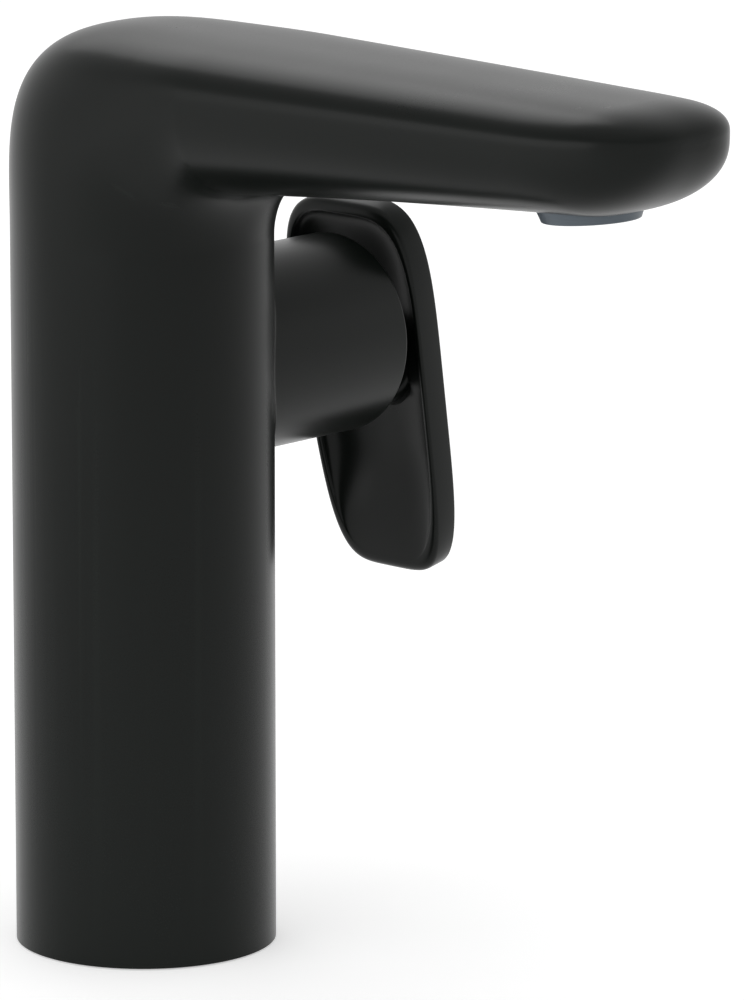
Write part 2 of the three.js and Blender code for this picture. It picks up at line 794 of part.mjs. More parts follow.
// In the paddle's frame, +Z leaves the lip plane outwards and +X runs down the paddle.
// An inset or a height is a pair: at the paddle's sides and at its ends.
function paddleSection(scale, insets, heights) {
  const points = [];
  for (let i = 0; i < lever_facets; i += 1) {
    const angle = 2 * Math.PI * i / lever_facets;
    const power = i < lever_facets / 2 ? lever_upper_power : lever_lower_power;
    const rise = softPower(Math.sin(angle), power);
    const end_share = rise ** 4;
    const inset = mix(...insets, end_share);
    const half = lever_half_width + lever_taper * rise - inset;
    points.push(new THREE.Vector3(
      lever_drop - (lever_half_length - inset) * rise * scale,
      half * softPower(Math.cos(angle), power) * scale,
      mix(...heights, end_share),
    ));
  }
  return points;
}

// The dish has its full depth at the top and runs out towards the lower end.
function dishSection(scale, insets, height) {
  const length = 2 * lever_half_length;
  return paddleSection(scale, insets, [height, height]).map((point) => {
    const place = (point.x - lever_drop) / length + 0.5;
    const run = clampShare((place - dish_fade_share) / (1 - dish_fade_share));
    return point.setZ(point.z * (1 - run * run * (3 - 2 * run)));
  });
}

// The back is a shallow dome, the edge rounds over a lip, and the dish follows the dome by a wall.
function makePaddleShell() {
  const dome_steps = 7;
  const dish_steps = 7;
  const dish_scale = 1 - lever_lip / lever_half_width;
  const outside = [0, 0];
  const edge_round = [lever_lip_round, lever_end_round];
  const lip = [lever_lip, lever_lip + lever_end_round - lever_lip_round];
  const crest = lip.map((inset) => inset - lever_lip_round);
  const sections = [];
  for (let i = 1; i <= dome_steps; i += 1) {
    const angle = Math.PI / 2 * i / dome_steps;
    const height = lever_edge_depth + lever_bulge * Math.cos(angle);
    sections.push(paddleSection(Math.sin(angle), outside, [height, height]));
  }
  sections.push(paddleSection(1, outside, edge_round));
  sections.push(paddleSection(1, edge_round, outside));
  sections.push(paddleSection(1, crest, outside));
  sections.push(dishSection(1, lip, lever_lip_round));
  for (let i = dish_steps - 1; i >= 1; i -= 1) {
    const run = Math.sin(Math.PI / 2 * i / dish_steps);
    const scale = dish_scale * run;
    const floor = lever_edge_depth + lever_bulge * Math.sqrt(1 - scale ** 2) - lever_wall;
    sections.push(dishSection(scale, outside, floor * roundedFall(run, dish_power)));
  }
  return loft(sections.reverse());
}

function makeLeverHandle() {
  const to_paddle = paddle_frame.clone().invert().multiply(stem_frame);
  const dome_top = lever_edge_depth + lever_bulge;
  const boss_reach = lever_reach - pivot_reach + dome_top;
  const boss_end = boss_reach / Math.cos(lever_lean + closed_angle) + cut_overrun;
  const beyond_floor = block(4 * lever_half_length, 4 * lever_half_width, dome_top - lever_wall / 2,
    lever_reach + dome_top);
  const boss = moved(rod(lever_boss_radius, lever_boss_start, boss_end, small_facets), to_paddle)
    .subtract(beyond_floor);
  const socket_width = stem_width + 2 * fit_gap;
  const socket = moved(block(socket_width, socket_width, lever_boss_start - cut_overrun,
    stem_outer_length + fit_gap), to_paddle);
  const screw_rod = rod(screw_radius + fit_gap, 0, lever_boss_radius + cut_overrun, small_facets);
  const screw_hole = moved(shifted(alongX(screw_rod), 0, 0, screw_place), to_paddle);
  return makePaddleShell().add(boss).subtract(socket).subtract(screw_hole);
}

// In the aerator's frame, +Z runs up from the outlet.
function makeAeratorHousing() {
  return revolve([[aerator_mouth_radius, 0], [aerator_rim_radius, 0],
    [aerator_radius, aerator_show - fit_gap], [aerator_radius, aerator_length],
    [aerator_bore_radius, aerator_length], [aerator_bore_radius, aerator_ledge],
    [aerator_mouth_radius, aerator_ledge]], large_facets);
}

// A disc with six-sided holes through it
function discWithHoles(radius, places, hole_radius, low, high) {
  const outline = new THREE.Shape();
  outline.setFromPoints(roundPoints(0, 0, radius, large_facets));
  for (const [x, y] of places) {
    outline.holes.push(new THREE.Path(roundPoints(x, y, hole_radius, tiny_facets / 2)));
  }
  const settings = { depth: high - low, bevelEnabled: false };
  return toSolid(new THREE.ExtrudeGeometry(outline, settings).translate(0, 0, low));
}

function makeAeratorScreen() {
  const places = [];
  for (let row = -2; row <= 2; row += 1) {
    for (let column = -2; column <= 2; column += 1) {
      if (Math.abs(row + column) <= 2) {
        places.push([(column + row / 2) * aerator_hole_pitch, row * aerator_hole_pitch * Math.sqrt(3) / 2]);
      }
    }
  }
  const low = aerator_ledge + running_gap;
  return discWithHoles(aerator_bore_radius - fit_gap, places, aerator_hole_radius, low,
    low + aerator_screen_thickness);
}

function makeAeratorCore() {
  const places = [];
  for (let i = 0; i < aerator_jets; i += 1) {
    const angle = 2 * Math.PI * i / aerator_jets;
    const radius = aerator_bore_radius * jet_circle_share;
    places.push([radius * Math.cos(angle), radius * Math.sin(angle)]);
  }
  const low = aerator_ledge + running_gap + aerator_screen_thickness + fit_gap;
  return discWithHoles(aerator_bore_radius - fit_gap, places, aerator_jet_radius, low, aerator_length);
}

function makeAeratorGasket() {
  const low = aerator_length + running_gap;
  return ring(aerator_mouth_radius, aerator_radius, low, low + aerator_gasket_height);
}

// The assembly
function placed(matrix, children) {
  const group = new THREE.Group();
  matrix.decompose(group.position, group.quaternion, group.scale);
  for (const child of children) group.add(child);
  return group;
}

function at(mesh, x, y, z) {
  mesh.position.set(x, y, z);
  return mesh;
}

const faucet = new THREE.Group();
faucet.add(namedMesh('body_casting', makeBodyCasting(), mattBlack()));
faucet.add(namedMesh('base_gasket', makeBaseGasket(), blackRubber()));
faucet.add(namedMesh('base_plate', makeBasePlate(), brass()));
faucet.add(at(namedMesh('cold_tube', makeInletTube(), steel()), -inlet_setback, -inlet_spacing / 2, 0));
faucet.add(at(namedMesh('hot_tube', makeInletTube(), steel()), -inlet_setback, inlet_spacing / 2, 0));
faucet.add(namedMesh('spout_tube', makeSpoutTube(), steel()));

const seal_names = ['cold_port_seal', 'hot_port_seal', 'mixed_port_seal'];
const stem_parts = placed(stem_frame, [
  namedMesh('stem', makeStem(), steel()),
  namedMesh('grub_screw', makeGrubScrew(), steel()),
]);
const paddle_parts = placed(paddle_frame, [namedMesh('lever_handle', makeLeverHandle(), mattBlack())]);
faucet.add(placed(hub_frame, [
  namedMesh('valve_housing', makeValveHousing(), brass()),
  ...seal_names.map((name, i) => at(namedMesh(name, makePortSeal(), blackRubber()), ...faceSpots()[i], 0)),
  namedMesh('cartridge_base', makeCartridgeBase(), whitePlastic()),
  namedMesh('fixed_disc', makeFixedDisc(), ceramic()),
  at(namedMesh('moving_disc', makeMovingDisc(), ceramic()), -closed_shift, 0, 0),
  at(namedMesh('disc_carrier', makeDiscCarrier(), whitePlastic()), -closed_shift, 0, 0),
  namedMesh('cartridge_rotor', makeRotor(), whitePlastic()),
  namedMesh('stem_pin', makeStemPin(), steel()),
  namedMesh('cartridge_case', makeCartridgeCase(), whitePlastic()),
  namedMesh('cartridge_nut', makeCartridgeNut(), brass()),
  namedMesh('dome_ring', makeDomeRing(), mattBlack()),
  stem_parts,
  paddle_parts,
]));
faucet.add(placed(aerator_frame, [
  namedMesh('aerator_housing', makeAeratorHousing(), finish(0x5f6770, 0.4, 0.3)),
  namedMesh('aerator_screen', makeAeratorScreen(), steel()),
  namedMesh('aerator_core', makeAeratorCore(), whitePlastic()),
  namedMesh('aerator_gasket', makeAeratorGasket(), blackRubber()),
]));

export default faucet;
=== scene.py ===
import json
import math

import bpy
import numpy as np
from bpy.props import FloatProperty, FloatVectorProperty, PointerProperty
from bpy.types import Operator, Panel, PropertyGroup
from mathutils import Matrix, Vector


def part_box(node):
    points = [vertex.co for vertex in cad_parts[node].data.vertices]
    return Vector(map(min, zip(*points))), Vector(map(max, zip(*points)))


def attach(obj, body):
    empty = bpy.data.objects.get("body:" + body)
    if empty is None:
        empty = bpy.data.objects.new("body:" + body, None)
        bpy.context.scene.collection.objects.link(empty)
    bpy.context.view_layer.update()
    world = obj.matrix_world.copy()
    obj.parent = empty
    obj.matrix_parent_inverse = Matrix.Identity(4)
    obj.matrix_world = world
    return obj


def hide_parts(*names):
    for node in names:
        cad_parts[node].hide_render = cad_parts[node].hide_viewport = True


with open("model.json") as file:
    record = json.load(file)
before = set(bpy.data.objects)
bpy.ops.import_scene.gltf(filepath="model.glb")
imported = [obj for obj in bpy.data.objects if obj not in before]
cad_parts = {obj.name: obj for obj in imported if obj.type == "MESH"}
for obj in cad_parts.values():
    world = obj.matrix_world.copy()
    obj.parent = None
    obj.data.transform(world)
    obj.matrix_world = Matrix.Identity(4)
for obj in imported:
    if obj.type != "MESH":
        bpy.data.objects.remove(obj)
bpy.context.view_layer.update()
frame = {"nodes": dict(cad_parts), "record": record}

bl_info = {
    "name": "Basin Mixer",
    "version": (1, 0, 0),
    "blender": (4, 5, 0),
    "location": "View3D > Sidebar > Basin Mixer",
    "description": "Builds the visible pieces and finishes of a tall side-lever basin mixer",
    "category": "Object",
}

MM = 0.001
FIT_GAP = 0.3 * MM
OVERRUN = 2 * MM
# How far the hub's fillet starts inside the column's skin
SUNK = 0.01 * MM
SHARP_ANGLE = math.radians(38)

# Facets round a full turn
BORE_FACETS = 48
SMALL_FACETS = 64
FACETS = 96
LARGE_FACETS = 128
RING_FACETS = 160
HUB_FACETS = 192

# Facets round the casting, and sections round its bend
SKIN_DETAIL = (144, 56)
HOLLOW_DETAIL = (64, 24)
BACK_ROWS = 4
# A circle, as the middle and the power of a section
ROUND_MIDDLE, ROUND_POWER = 0.5, 2
# The spout's sections crowd towards the tip and stop just short of its end
TIP_TURN_SHARE = 17 / 17.4
# Share of the spout's sections over which its lower half fills out
ROOT_RUN_SHARE = 0.5

# Steps along the rounds and rows of the paddle
BACK_STEPS, EDGE_STEPS, DISH_STEPS = 28, 6, 32
# How late the paddle's sides turn into its ends
END_BLEND_POWER = 4

# The thread's ridge: steps in a turn, and how far its foot stands in the wall
THREAD_STEPS = 36
THREAD_SUNK = 0.1 * MM
# In pitches: the turn in which it grows, half its width, and what is free at both ends
THREAD_GROWTH = 0.5
THREAD_FOOT, THREAD_CREST = 0.42, 0.1
THREAD_FREE_BELOW, THREAD_FREE_ABOVE = 1.2, 0.8

# Place and size of each soft box in metres, and the spot that they face
SOFT_BOXES = {
    "overhead_box": ((-0.2, -0.3, 1.3), (1.2, 1.2)),
    "left_box": ((-0.978, 0.158, 0.33), (1.06, 0.5)),
    "back_box": ((0.49, 0.73, 0.92), (0.6, 0.6)),
}
LIT_SPOT = (0, -0.05, 0.11)
WHITE = (1, 1, 1, 1)
# Steepness at which the room's ceiling starts to dim, and at which it is fully dim
CEILING_START, CEILING_FULL = 0.24, 0.64
FLOOR_HALF, FLOOR_SHADE, FLOOR_GLOW = 4, (0.8, 0.8, 0.8, 1), 0.42
VIEW_LIMIT = 20


def length(name, description, millimetres):
    """A size that is written here in millimetres and kept in metres."""
    return FloatProperty(name=name, description=description, default=millimetres * MM, unit="LENGTH",
                         precision=5)


def turn(name, description, degrees):
    return FloatProperty(name=name, description=description, default=math.radians(degrees), unit="ROTATION")


def number(name, description, value):
    return FloatProperty(name=name, description=description, default=value, precision=4)


def colour(name, description, red, green, blue):
    return FloatVectorProperty(name=name, description=description, default=(red, green, blue),
                               subtype="COLOR", min=0, max=1)


class BodySizes(PropertyGroup):
    column_radius: length("Column radius", "Outside radius of the column", 27.5)
    wall: length("Casting wall", "Wall of the hollow casting", 2.6)
    foot: length("Foot height", "Underside of the casting above the deck", 0.3)
    root_under: length("Spout height", "Underside of the spout at the column", 163.4)
    root_depth: length("Root depth", "Depth of the spout at the column", 33.6)
    tip_rise: length("Tip rise", "How far the underside climbs to the tip", 9.6)
    tip_depth: length("Tip depth", "Depth of the spout at its tip", 21.1)
    bow: number("Underside bow", "Share of the climb that the underside bows down", 0.43)
    reach: length("Spout reach", "From the column's axis to the tip", 151)
    fillet_depth: length("Fillet depth", "Forward size of the corner below the spout", 8.4)
    fillet_height: length("Fillet height", "Upright size of the corner below the spout", 13)
    crown_depth: length("Crown depth", "Forward size of the round top corner", 46)
    crown_rise: length("Crown rise", "Straight back above the lower corner", 4.7)
    crown_power: number("Crown power", "Fullness of the round top corner", 3.34)
    tip_half: length("Tip half width", "Half the spout's width at its tip", 21.9)
    taper_power: number("Taper power", "How late the spout narrows", 1.21)
    plan_length: length("Tip length in plan", "Where the tip starts to round in plan", 31.7)
    plan_power: number("Tip power in plan", "Fullness of the tip in plan", 2.88)
    top_length: length("Tip length on top", "Where the top starts to fall", 16.1)
    top_power: number("Tip power on top", "Fullness of the fall on top", 2.2)
    under_length: length("Tip length below", "Where the underside starts to rise", 20.4)
    under_power: number("Tip power below", "Fullness of the rise below", 2)
    nose: number("Nose height", "Share of the tip's depth where top and underside meet", 0.71)
    upper_power: number("Upper section power", "Fullness of the upper half of a section", 2.8)
    lower_power: number("Lower section power", "Fullness of the lower half of a section", 2.71)
    root_power: number("Root section power", "Fullness of the lower half where the spout starts", 2.3)
    end_power: number("Tip section power", "Fullness of the sections at the tip", 2.9)
    middle: number("Section middle", "Share of the depth at which a section is widest", 0.67)
    bend_middle: number("Bend middle", "How much lower that is half way round the bend", -0.06)
    bend_power: number("Bend power", "Extra lower fullness half way round the bend", 0.15)
    hub_drop: length("Hub drop", "Hub's axis below the spout's root", 41.4)
    hub_radius: length("Hub radius", "Outside radius of the side hub", 21.4)
    hub_reach: length("Hub reach", "From the column's axis to the hub's mouth", 58.7)
    hub_bore: length("Hub bore radius", "Inside radius of the side hub", 19.2)
    hub_edge: length("Hub edge", "Rounding of the hub's mouth", 0.7)
    hub_fillet: length("Hub fillet", "Soft corner between the hub and the column", 1.5)
    seat_boss: length("Seat boss radius", "Boss behind the valve housing", 9)
    housing_back: length("Housing back", "Valve housing's back behind the column's axis", 18.4)
    dome_radius: length("Dome radius", "Outside radius of the trim ring's dome", 30.39)
    dome_wall: length("Dome wall", "Wall of the trim ring", 2.2)
    dome_hole: length("Dome hole radius", "Hole in which the stem moves", 14)
    dome_edge: length("Dome edge", "Rounding of that hole's rim", 0.4)


class LeverSizes(PropertyGroup):
    reach: length("Lever reach", "From the column's axis to the lip plane", 65.3)
    lean: turn("Lever lean", "How far the paddle's foot leans out", 11.2)
    half_width: length("Half width", "Half the paddle's mean width", 17.8)
    taper: length("Taper", "How much the half width grows to the top", 2.05)
    half_length: length("Half length", "Half the paddle's length", 42.3)
    drop: length("Drop", "Paddle's middle below the hub's axis", 14)
    lower_power: number("Lower power", "Fullness of the lower end", 4.7)
    upper_power: number("Upper power", "Fullness of the upper end", 4.1)
    edge_depth: length("Edge depth", "Height of the paddle's edge", 5.9)
    bulge: length("Bulge", "Height of the domed back above the edge", 3.6)
    lip: length("Lip", "Width of the lip round the dish", 1.5)
    lip_round: length("Lip rounding", "Rounding of the lip at the sides", 0.7)
    end_round: length("End rounding", "Rounding of the paddle's ends", 2)
    dish_power: number("Dish power", "Fullness of the dish", 3)
    dish_fade: number("Dish fade", "Share of the length at which the dish starts to run out", 0.68)
    wall: length("Paddle wall", "Wall of the paddle", 2.6)
    boss_radius: length("Boss radius", "Boss that holds the stem", 6.8)
    boss_start: length("Boss start", "From the pivot to the boss", 17.5)
    boss_flare: length("Boss flare", "Soft foot of the boss on the dish", 1.6)
    boss_edge: length("Boss edge", "Rounding of the boss's end", 0.5)
    pivot_reach: length("Pivot reach", "From the column's axis to the stem's pivot", 30)
    stem_width: length("Stem width", "Width of the square stem", 7)
    stem_end: length("Stem end", "From the pivot to the stem's end", 38)
    closed_angle: turn("Closed angle", "Stem's slant when the valve is shut", 12.5)
    screw_radius: length("Screw radius", "Radius of the grub screw", 2)
    screw_place: length("Screw place", "From the pivot to the grub screw", 34)


class OutletSizes(PropertyGroup):
    setback: length("Outlet setback", "Outlet behind the spout's tip", 27)
    drop: length("Outlet drop", "Outlet below the spout's underside", 1.8)
    tilt: turn("Outlet tilt", "How far the outlet leans", 4.8)
    rim_radius: length("Rim radius", "Outside radius at the outlet's lower edge", 10.1)
    radius: length("Ring radius", "Outside radius of the outlet ring", 10.9)
    length: length("Ring length", "Height of the outlet ring", 9)
    show: length("Showing length", "How much of the ring shows below the spout", 2.7)
    mouth_radius: length("Mouth radius", "Opening of the ring", 7.6)
    bore_radius: length("Ring bore radius", "Inside radius above the ledge", 8.8)
    ledge: length("Ledge", "Height of the ledge under the screen", 1.2)
    seat_radius: length("Seat radius", "Flat round seat in the spout", 12.4)
    boss_radius: length("Outlet boss radius", "Boss around the outlet inside the spout", 14)
    pocket_top: length("Pocket top", "Depth of the pocket above the outlet", 10.8)
    plenum_radius: length("Plenum radius", "Chamber above the outlet", 8)
    plenum_height: length("Plenum height", "Height of that chamber", 9.5)
    edge: length("Ring edge", "Rounding of the ring's lower edge", 0.35)


class FootSizes(PropertyGroup):
    gasket_outer: length("Gasket radius", "Outside radius of the rubber ring", 26)
    gasket_inner: length("Gasket hole radius", "Inside radius of the rubber ring", 19.5)
    gasket_height: length("Gasket height", "Thickness of the rubber ring", 2.4)
    plug_height: length("Plug height", "Thickness of the brass plug", 16)
    hose_radius: length("Hose bore radius", "Bore for a hose end", 4.6)
    hose_depth: length("Hose bore depth", "Depth of that bore", 7.5)
    water_radius: length("Waterway radius", "Bore above the hose", 3)
    socket_radius: length("Socket radius", "Socket for a tube", 4.3)
    socket_depth: length("Socket depth", "Depth of that socket", 4)
    inlet_spacing: length("Inlet spacing", "Between the two hose bores", 12)
    inlet_setback: length("Inlet setback", "Hose bores beside the column's axis", 6)
    stud_radius: length("Stud bore radius", "Bore for the fixing stud", 3.4)
    stud_depth: length("Stud bore depth", "Depth of that bore", 12)
    stud_setoff: length("Stud setoff", "Stud bore beside the column's axis", 11)
    thread_pitch: length("Thread pitch", "Pitch of the threads", 1)
    thread_depth: length("Thread depth", "How far the thread ridges stand in", 0.4)
    edge: length("Edges", "Rounds and chamfers of the foot", 0.5)


class FinishColours(PropertyGroup):
    coat: colour("Coat", "Satin black coat", 0.0045, 0.0058, 0.0049)
    ring: colour("Outlet ring", "Blue-grey outlet ring", 0.091, 0.111, 0.130)
    brass: colour("Brass", "Machined brass", 0.43, 0.27, 0.07)
    steel: colour("Steel", "Brushed steel", 0.40, 0.41, 0.42)
    rubber: colour("Rubber", "Seals and gaskets", 0.010, 0.010, 0.010)
    plastic: colour("Plastic", "Cartridge plastic", 0.77, 0.75, 0.70)
    ceramic: colour("Ceramic", "Valve discs", 0.87, 0.86, 0.80)


class StageSettings(PropertyGroup):
    distance_x: length("Camera X", "Camera's place beside the column", -1197.3)
    distance_y: length("Camera Y", "Camera's place in front of the column", -1169.5)
    height: length("Camera height", "Camera's height above the deck", 464.2)
    yaw: turn("Camera yaw", "Camera's turn from straight ahead", -47.317)
    pitch: turn("Camera pitch", "Camera's look down", 12.462)
    lens: number("Lens", "Focal length in millimetres", 294.44)
    key: number("Key power", "Overhead soft box in watts", 0.8)
    side: number("Side power", "Low soft box on the left in watts", 2.3)
    back: number("Back power", "High soft box behind in watts", 1.35)
    ceiling: number("Ceiling", "Share of the room's shade that its ceiling has", 0.6)
    ambient: number("Ambient", "Strength of the room's soft light", 0.75)


GROUPS = {
    "mixer_body": BodySizes,
    "mixer_lever": LeverSizes,
    "mixer_outlet": OutletSizes,
    "mixer_foot": FootSizes,
    "mixer_colours": FinishColours,
    "mixer_stage": StageSettings,
}


# Curves that the casting and the paddle share
def mix(low, high, share):
    return low + (high - low) * share


def soft_power(value, power):
    """A superellipse's reach for the sine or cosine of its angle."""
    return np.sign(value) * np.abs(value) ** (2 / power)


def soft_step(share):
    """A share that starts and ends its way from 0 to 1 level."""
    return share * share * (3 - 2 * share)


def rounded_fall(run, power):
    """A quarter of a superellipse, from 1 at the start of the run down to 0 at its end."""
    return (1 - np.clip(run, 0, 1) ** power) ** (1 / power)


# Closed meshes
def new_object(name, data):
    made = bpy.data.objects.new(name, data)
    bpy.context.scene.collection.objects.link(made)
    return made


def new_piece(name, points, faces):
    mesh = bpy.data.meshes.new(name)
    mesh.from_pydata([tuple(point) for point in points], [], faces)
    mesh.validate()
    return new_object(name, mesh)


def loft(name, rings):
    """Skins a row of closed rings and caps both ends with a fan."""
    count = len(rings[0])
    points = [point for ring in rings for point in ring]
    faces = []
    for row in range(len(rings) - 1):
        for i in range(count):
            a, b = row * count + i, row * count + (i + 1) % count
            faces.append((a, b, b + count, a + count))
    last = (len(rings) - 1) * count
    points += [np.mean(rings[0], axis=0), np.mean(rings[-1], axis=0)]
    low, high = len(points) - 2, len(points) - 1
    for i in range(count):
        after = (i + 1) % count
        faces += [(low, after, i), (high, last + i, last + after)]
    return new_piece(name, points, faces)


def revolve(name, outline, facets=FACETS, place=None):
    """Turns an outline of (radius, height) pairs, counter-clockwise, about +Z."""
    place = place or Matrix.Identity(4)
    rows = []
    points = []
    for radius, height in outline:
        start = len(points)
        steps = facets if radius > 1e-9 else 1
        for i in range(steps):
            angle = 2 * math.pi * i / facets
            points.append(place @ Vector((radius * math.cos(angle), radius * math.sin(angle), height)))
        rows.append([start + i % steps for i in range(facets)])
    faces = []
    count = len(outline)
    for row in range(count):
        a, b = rows[row], rows[(row + 1) % count]
        if a[0] == a[1] and b[0] == b[1]:
            continue
        for i in range(facets):
            after = (i + 1) % facets
            corners = [a[i], a[after], b[after], b[i]]
            faces.append(tuple(dict.fromkeys(corners)))
    return new_piece(name, points, faces)


def rod(radius, low, high, facets=FACETS, place=None):
    return revolve("rod", [(0, low), (radius, low), (radius, high), (0, high)], facets, place)


def bar(half_x, half_y, low, high, place):
    corners = [(-half_x, -half_y), (half_x, -half_y), (half_x, half_y), (-half_x, half_y)]
    points = [place @ Vector((x, y, z)) for z in (low, high) for x, y in corners]
    faces = [(3, 2, 1, 0), (4, 5, 6, 7)]
    faces += [(i, (i + 1) % 4, (i + 1) % 4 + 4, i + 4) for i in range(4)]
    return new_piece("bar", points, faces)


def carve(piece, operation, tool):
    """Joins, cuts or keeps what the tool covers, and removes the tool."""
    change = piece.modifiers.new("carve", "BOOLEAN")
    change.operation = operation
    change.solver = "MANIFOLD"
    change.object = tool
    made = bpy.data.meshes.new_from_object(piece.evaluated_get(bpy.context.evaluated_depsgraph_get()))
    spent = (piece.data, tool.data)
    piece.modifiers.clear()
    piece.data = made
    bpy.data.objects.remove(tool)
    for mesh in spent:
        bpy.data.meshes.remove(mesh)
    return piece


def cut(piece, tool):
    return carve(piece, "DIFFERENCE", tool)


def copy_of(piece):
    return new_object(piece.name + "_copy", piece.data.copy())


def place_at(x, y, z, tilt=0, axis="Y"):
    return Matrix.Translation((x, y, z)) @ Matrix.Rotation(tilt, 4, axis)


def hub_place(body):
    """Turns +Z into the hub's axis, out from the column's axis."""
    return place_at(0, 0, body.root_under - body.hub_drop, math.pi / 2)


def arc(centre, radius, start, end, steps):
    """Points on a part of a circle, from one angle to another in degrees."""
    angles = [math.radians(mix(start, end, i / steps)) for i in range(steps + 1)]
    return [(centre[0] + radius * math.cos(a), centre[1] + radius * math.sin(a)) for a in angles]


def finish_piece(piece, name, body, slot, *nodes):
    """Names a piece, shades it, gives it its slot's finish and lets it ride in place of its CAD nodes."""
    mesh = piece.data
    piece.name = mesh.name = name
    mesh.shade_smooth()
    mesh.set_sharp_from_angle(angle=SHARP_ANGLE)
    mesh.materials.clear()
    mesh.materials.append(finish_of(slot))
    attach(piece, body)
    if nodes:
        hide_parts(*nodes)
    return piece


# Shader networks written as sums
class Value:
    """A node's output that takes part in sums."""

    def __init__(self, finish, socket):
        self.finish = finish
        self.socket = socket

    def _sum(self, operation, first, second):
        return self.finish.node("ShaderNodeMath", {"operation": operation}, {0: first, 1: second})

    def __add__(self, other):
        return self._sum("ADD", self, other)

    def __radd__(self, other):
        return self._sum("ADD", other, self)

    def __sub__(self, other):
        return self._sum("SUBTRACT", self, other)

    def __rsub__(self, other):
        return self._sum("SUBTRACT", other, self)

    def __mul__(self, other):
        return self._sum("MULTIPLY", self, other)

    def __rmul__(self, other):
        return self._sum("MULTIPLY", other, self)


class Finish:
    """A node tree with one method for every kind of node."""

    def __init__(self, name, owner=None):
        self.owner = owner or bpy.data.materials.new(name)
        self.owner.use_nodes = True
        self.tree = self.owner.node_tree
        self.tree.nodes.clear()

    def node(self, kind, settings=None, values=None, output=0):
        node = self.tree.nodes.new(kind)
        for key, value in (settings or {}).items():
            setattr(node, key, value)
        for key, value in (values or {}).items():
            if isinstance(value, Value):
                self.tree.links.new(value.socket, node.inputs[key])
            else:
                node.inputs[key].default_value = value
        return Value(self, node.outputs[output]) if node.outputs else node

    def point(self):
        """The place on the object, in its own metres."""
        return self.node("ShaderNodeTexCoord", output="Object")

    def stretched(self, x, y, z):
        return self.node("ShaderNodeVectorMath", {"operation": "MULTIPLY"}, {0: self.point(), 1: (x, y, z)})

    def noise(self, scale, detail, vector=None):
        return self.node("ShaderNodeTexNoise", values={
            "Vector": vector or self.point(), "Scale": scale, "Detail": detail})

    def band(self, value, low, high):
        """0 below low, 1 above high, and a soft step between."""
        return self.node("ShaderNodeMapRange", {"interpolation_type": "SMOOTHSTEP"}, {
            "Value": value, "From Min": low, "From Max": high})

    def tint(self, share, first, second):
        """One colour that turns into another as share goes from 0 to 1."""
        return self.node("ShaderNodeMix", {"data_type": "RGBA"}, {
            0: share, 6: opaque(first), 7: opaque(second)}, output=2)

    def mottle(self, share, tone, low, high):
        """A colour that goes from one brightness of itself to another."""
        return self.tint(share, shaded(tone, low), shaded(tone, high))

    def bump(self, height, distance, strength):
        return self.node("ShaderNodeBump", values={
            "Height": height, "Distance": distance, "Strength": strength}, output="Normal")

    def surface(self, **values):
        """Ends in a Principled shader; a socket's name has _ for each space."""
        shader = self.node("ShaderNodeBsdfPrincipled", values={
            key.replace("_", " "): value for key, value in values.items()})
        self.node("ShaderNodeOutputMaterial", values={"Surface": shader})
        return self.owner


def opaque(shade):
    return shade if isinstance(shade, Value) else (*shade, 1)


def shaded(tone, factor):
    """A lighter or darker version of a colour."""
    return tuple(min(part * factor, 1) for part in tone)


def satin_black_coat(make, tone):
    """Smooth black coat: faint cloudiness, a fine grain, and a painted highlight that makes convex edges a
    little lighter.
    """
    cloud = make.noise(38, 3)
    grain = make.noise(2600, 2)
    # Painted highlight: convex edges, found by pointiness, get a lighter colour and a little less roughness
    edge_highlight = make.band(make.node("ShaderNodeNewGeometry", output="Pointiness"), 0.53, 0.6)
    base = make.mottle(cloud, tone, 0.86, 1.14)
    base = make.tint(edge_highlight * 0.5, base, shaded(tone, 1.9))
    rough = 0.24 + 0.05 * cloud + 0.05 * grain - 0.03 * edge_highlight
    return make.surface(Base_Color=base, Roughness=rough, Specular_IOR_Level=0.15,
                        Normal=make.bump(grain, 0.01 * MM, 0.5))


def blue_grey_ring(make, tone):
    """Blue-grey outlet ring with fine turning marks."""
    marks = make.noise(60, 3, make.stretched(1, 1, 60))
    cloud = make.noise(300, 2)
    base = make.mottle(marks, tone, 0.88, 1.12)
    return make.surface(Base_Color=base, Roughness=0.34 + 0.1 * cloud, Metallic=0.25, Specular_IOR_Level=0.4,
                        Normal=make.bump(marks, 0.01 * MM, 0.3))


def machined_brass(make, tone):
    """Brass with turning rings and a few dull spots."""
    marks = make.noise(40, 4, make.stretched(14, 1, 1))
    dull = make.band(make.noise(140, 3), 0.5, 0.75)
    base = make.mottle(marks, tone, 0.9, 1.1)
    base = make.tint(dull * 0.6, base, shaded(tone, 0.6))
    return make.surface(Base_Color=base, Roughness=0.24 + 0.12 * marks + 0.15 * dull, Metallic=1,
                        Normal=make.bump(marks, 0.02 * MM, 0.4))


def brushed_steel(make, tone):
    """Steel with brush lines along its length."""
    lines = make.noise(1500, 2, make.stretched(0.05, 1, 1))
    cloud = make.noise(90, 2)
    base = make.mottle(lines, tone, 0.85, 1.15)
    return make.surface(Base_Color=base, Roughness=0.22 + 0.14 * lines + 0.06 * cloud, Metallic=1,
                        Normal=make.bump(lines, 0.01 * MM, 0.4))


def moulded_rubber(make, tone):
    """Black rubber with a pale bloom and a fine moulded grain."""
    bloom = make.band(make.noise(120, 4), 0.45, 0.8)
    grain = make.noise(3000, 2)
    base = make.tint(bloom * 0.5, tone, shaded(tone, 3))
    return make.surface(Base_Color=base, Roughness=0.7 + 0.15 * grain, Specular_IOR_Level=0.35,
                        Normal=make.bump(grain, 0.02 * MM, 0.6))


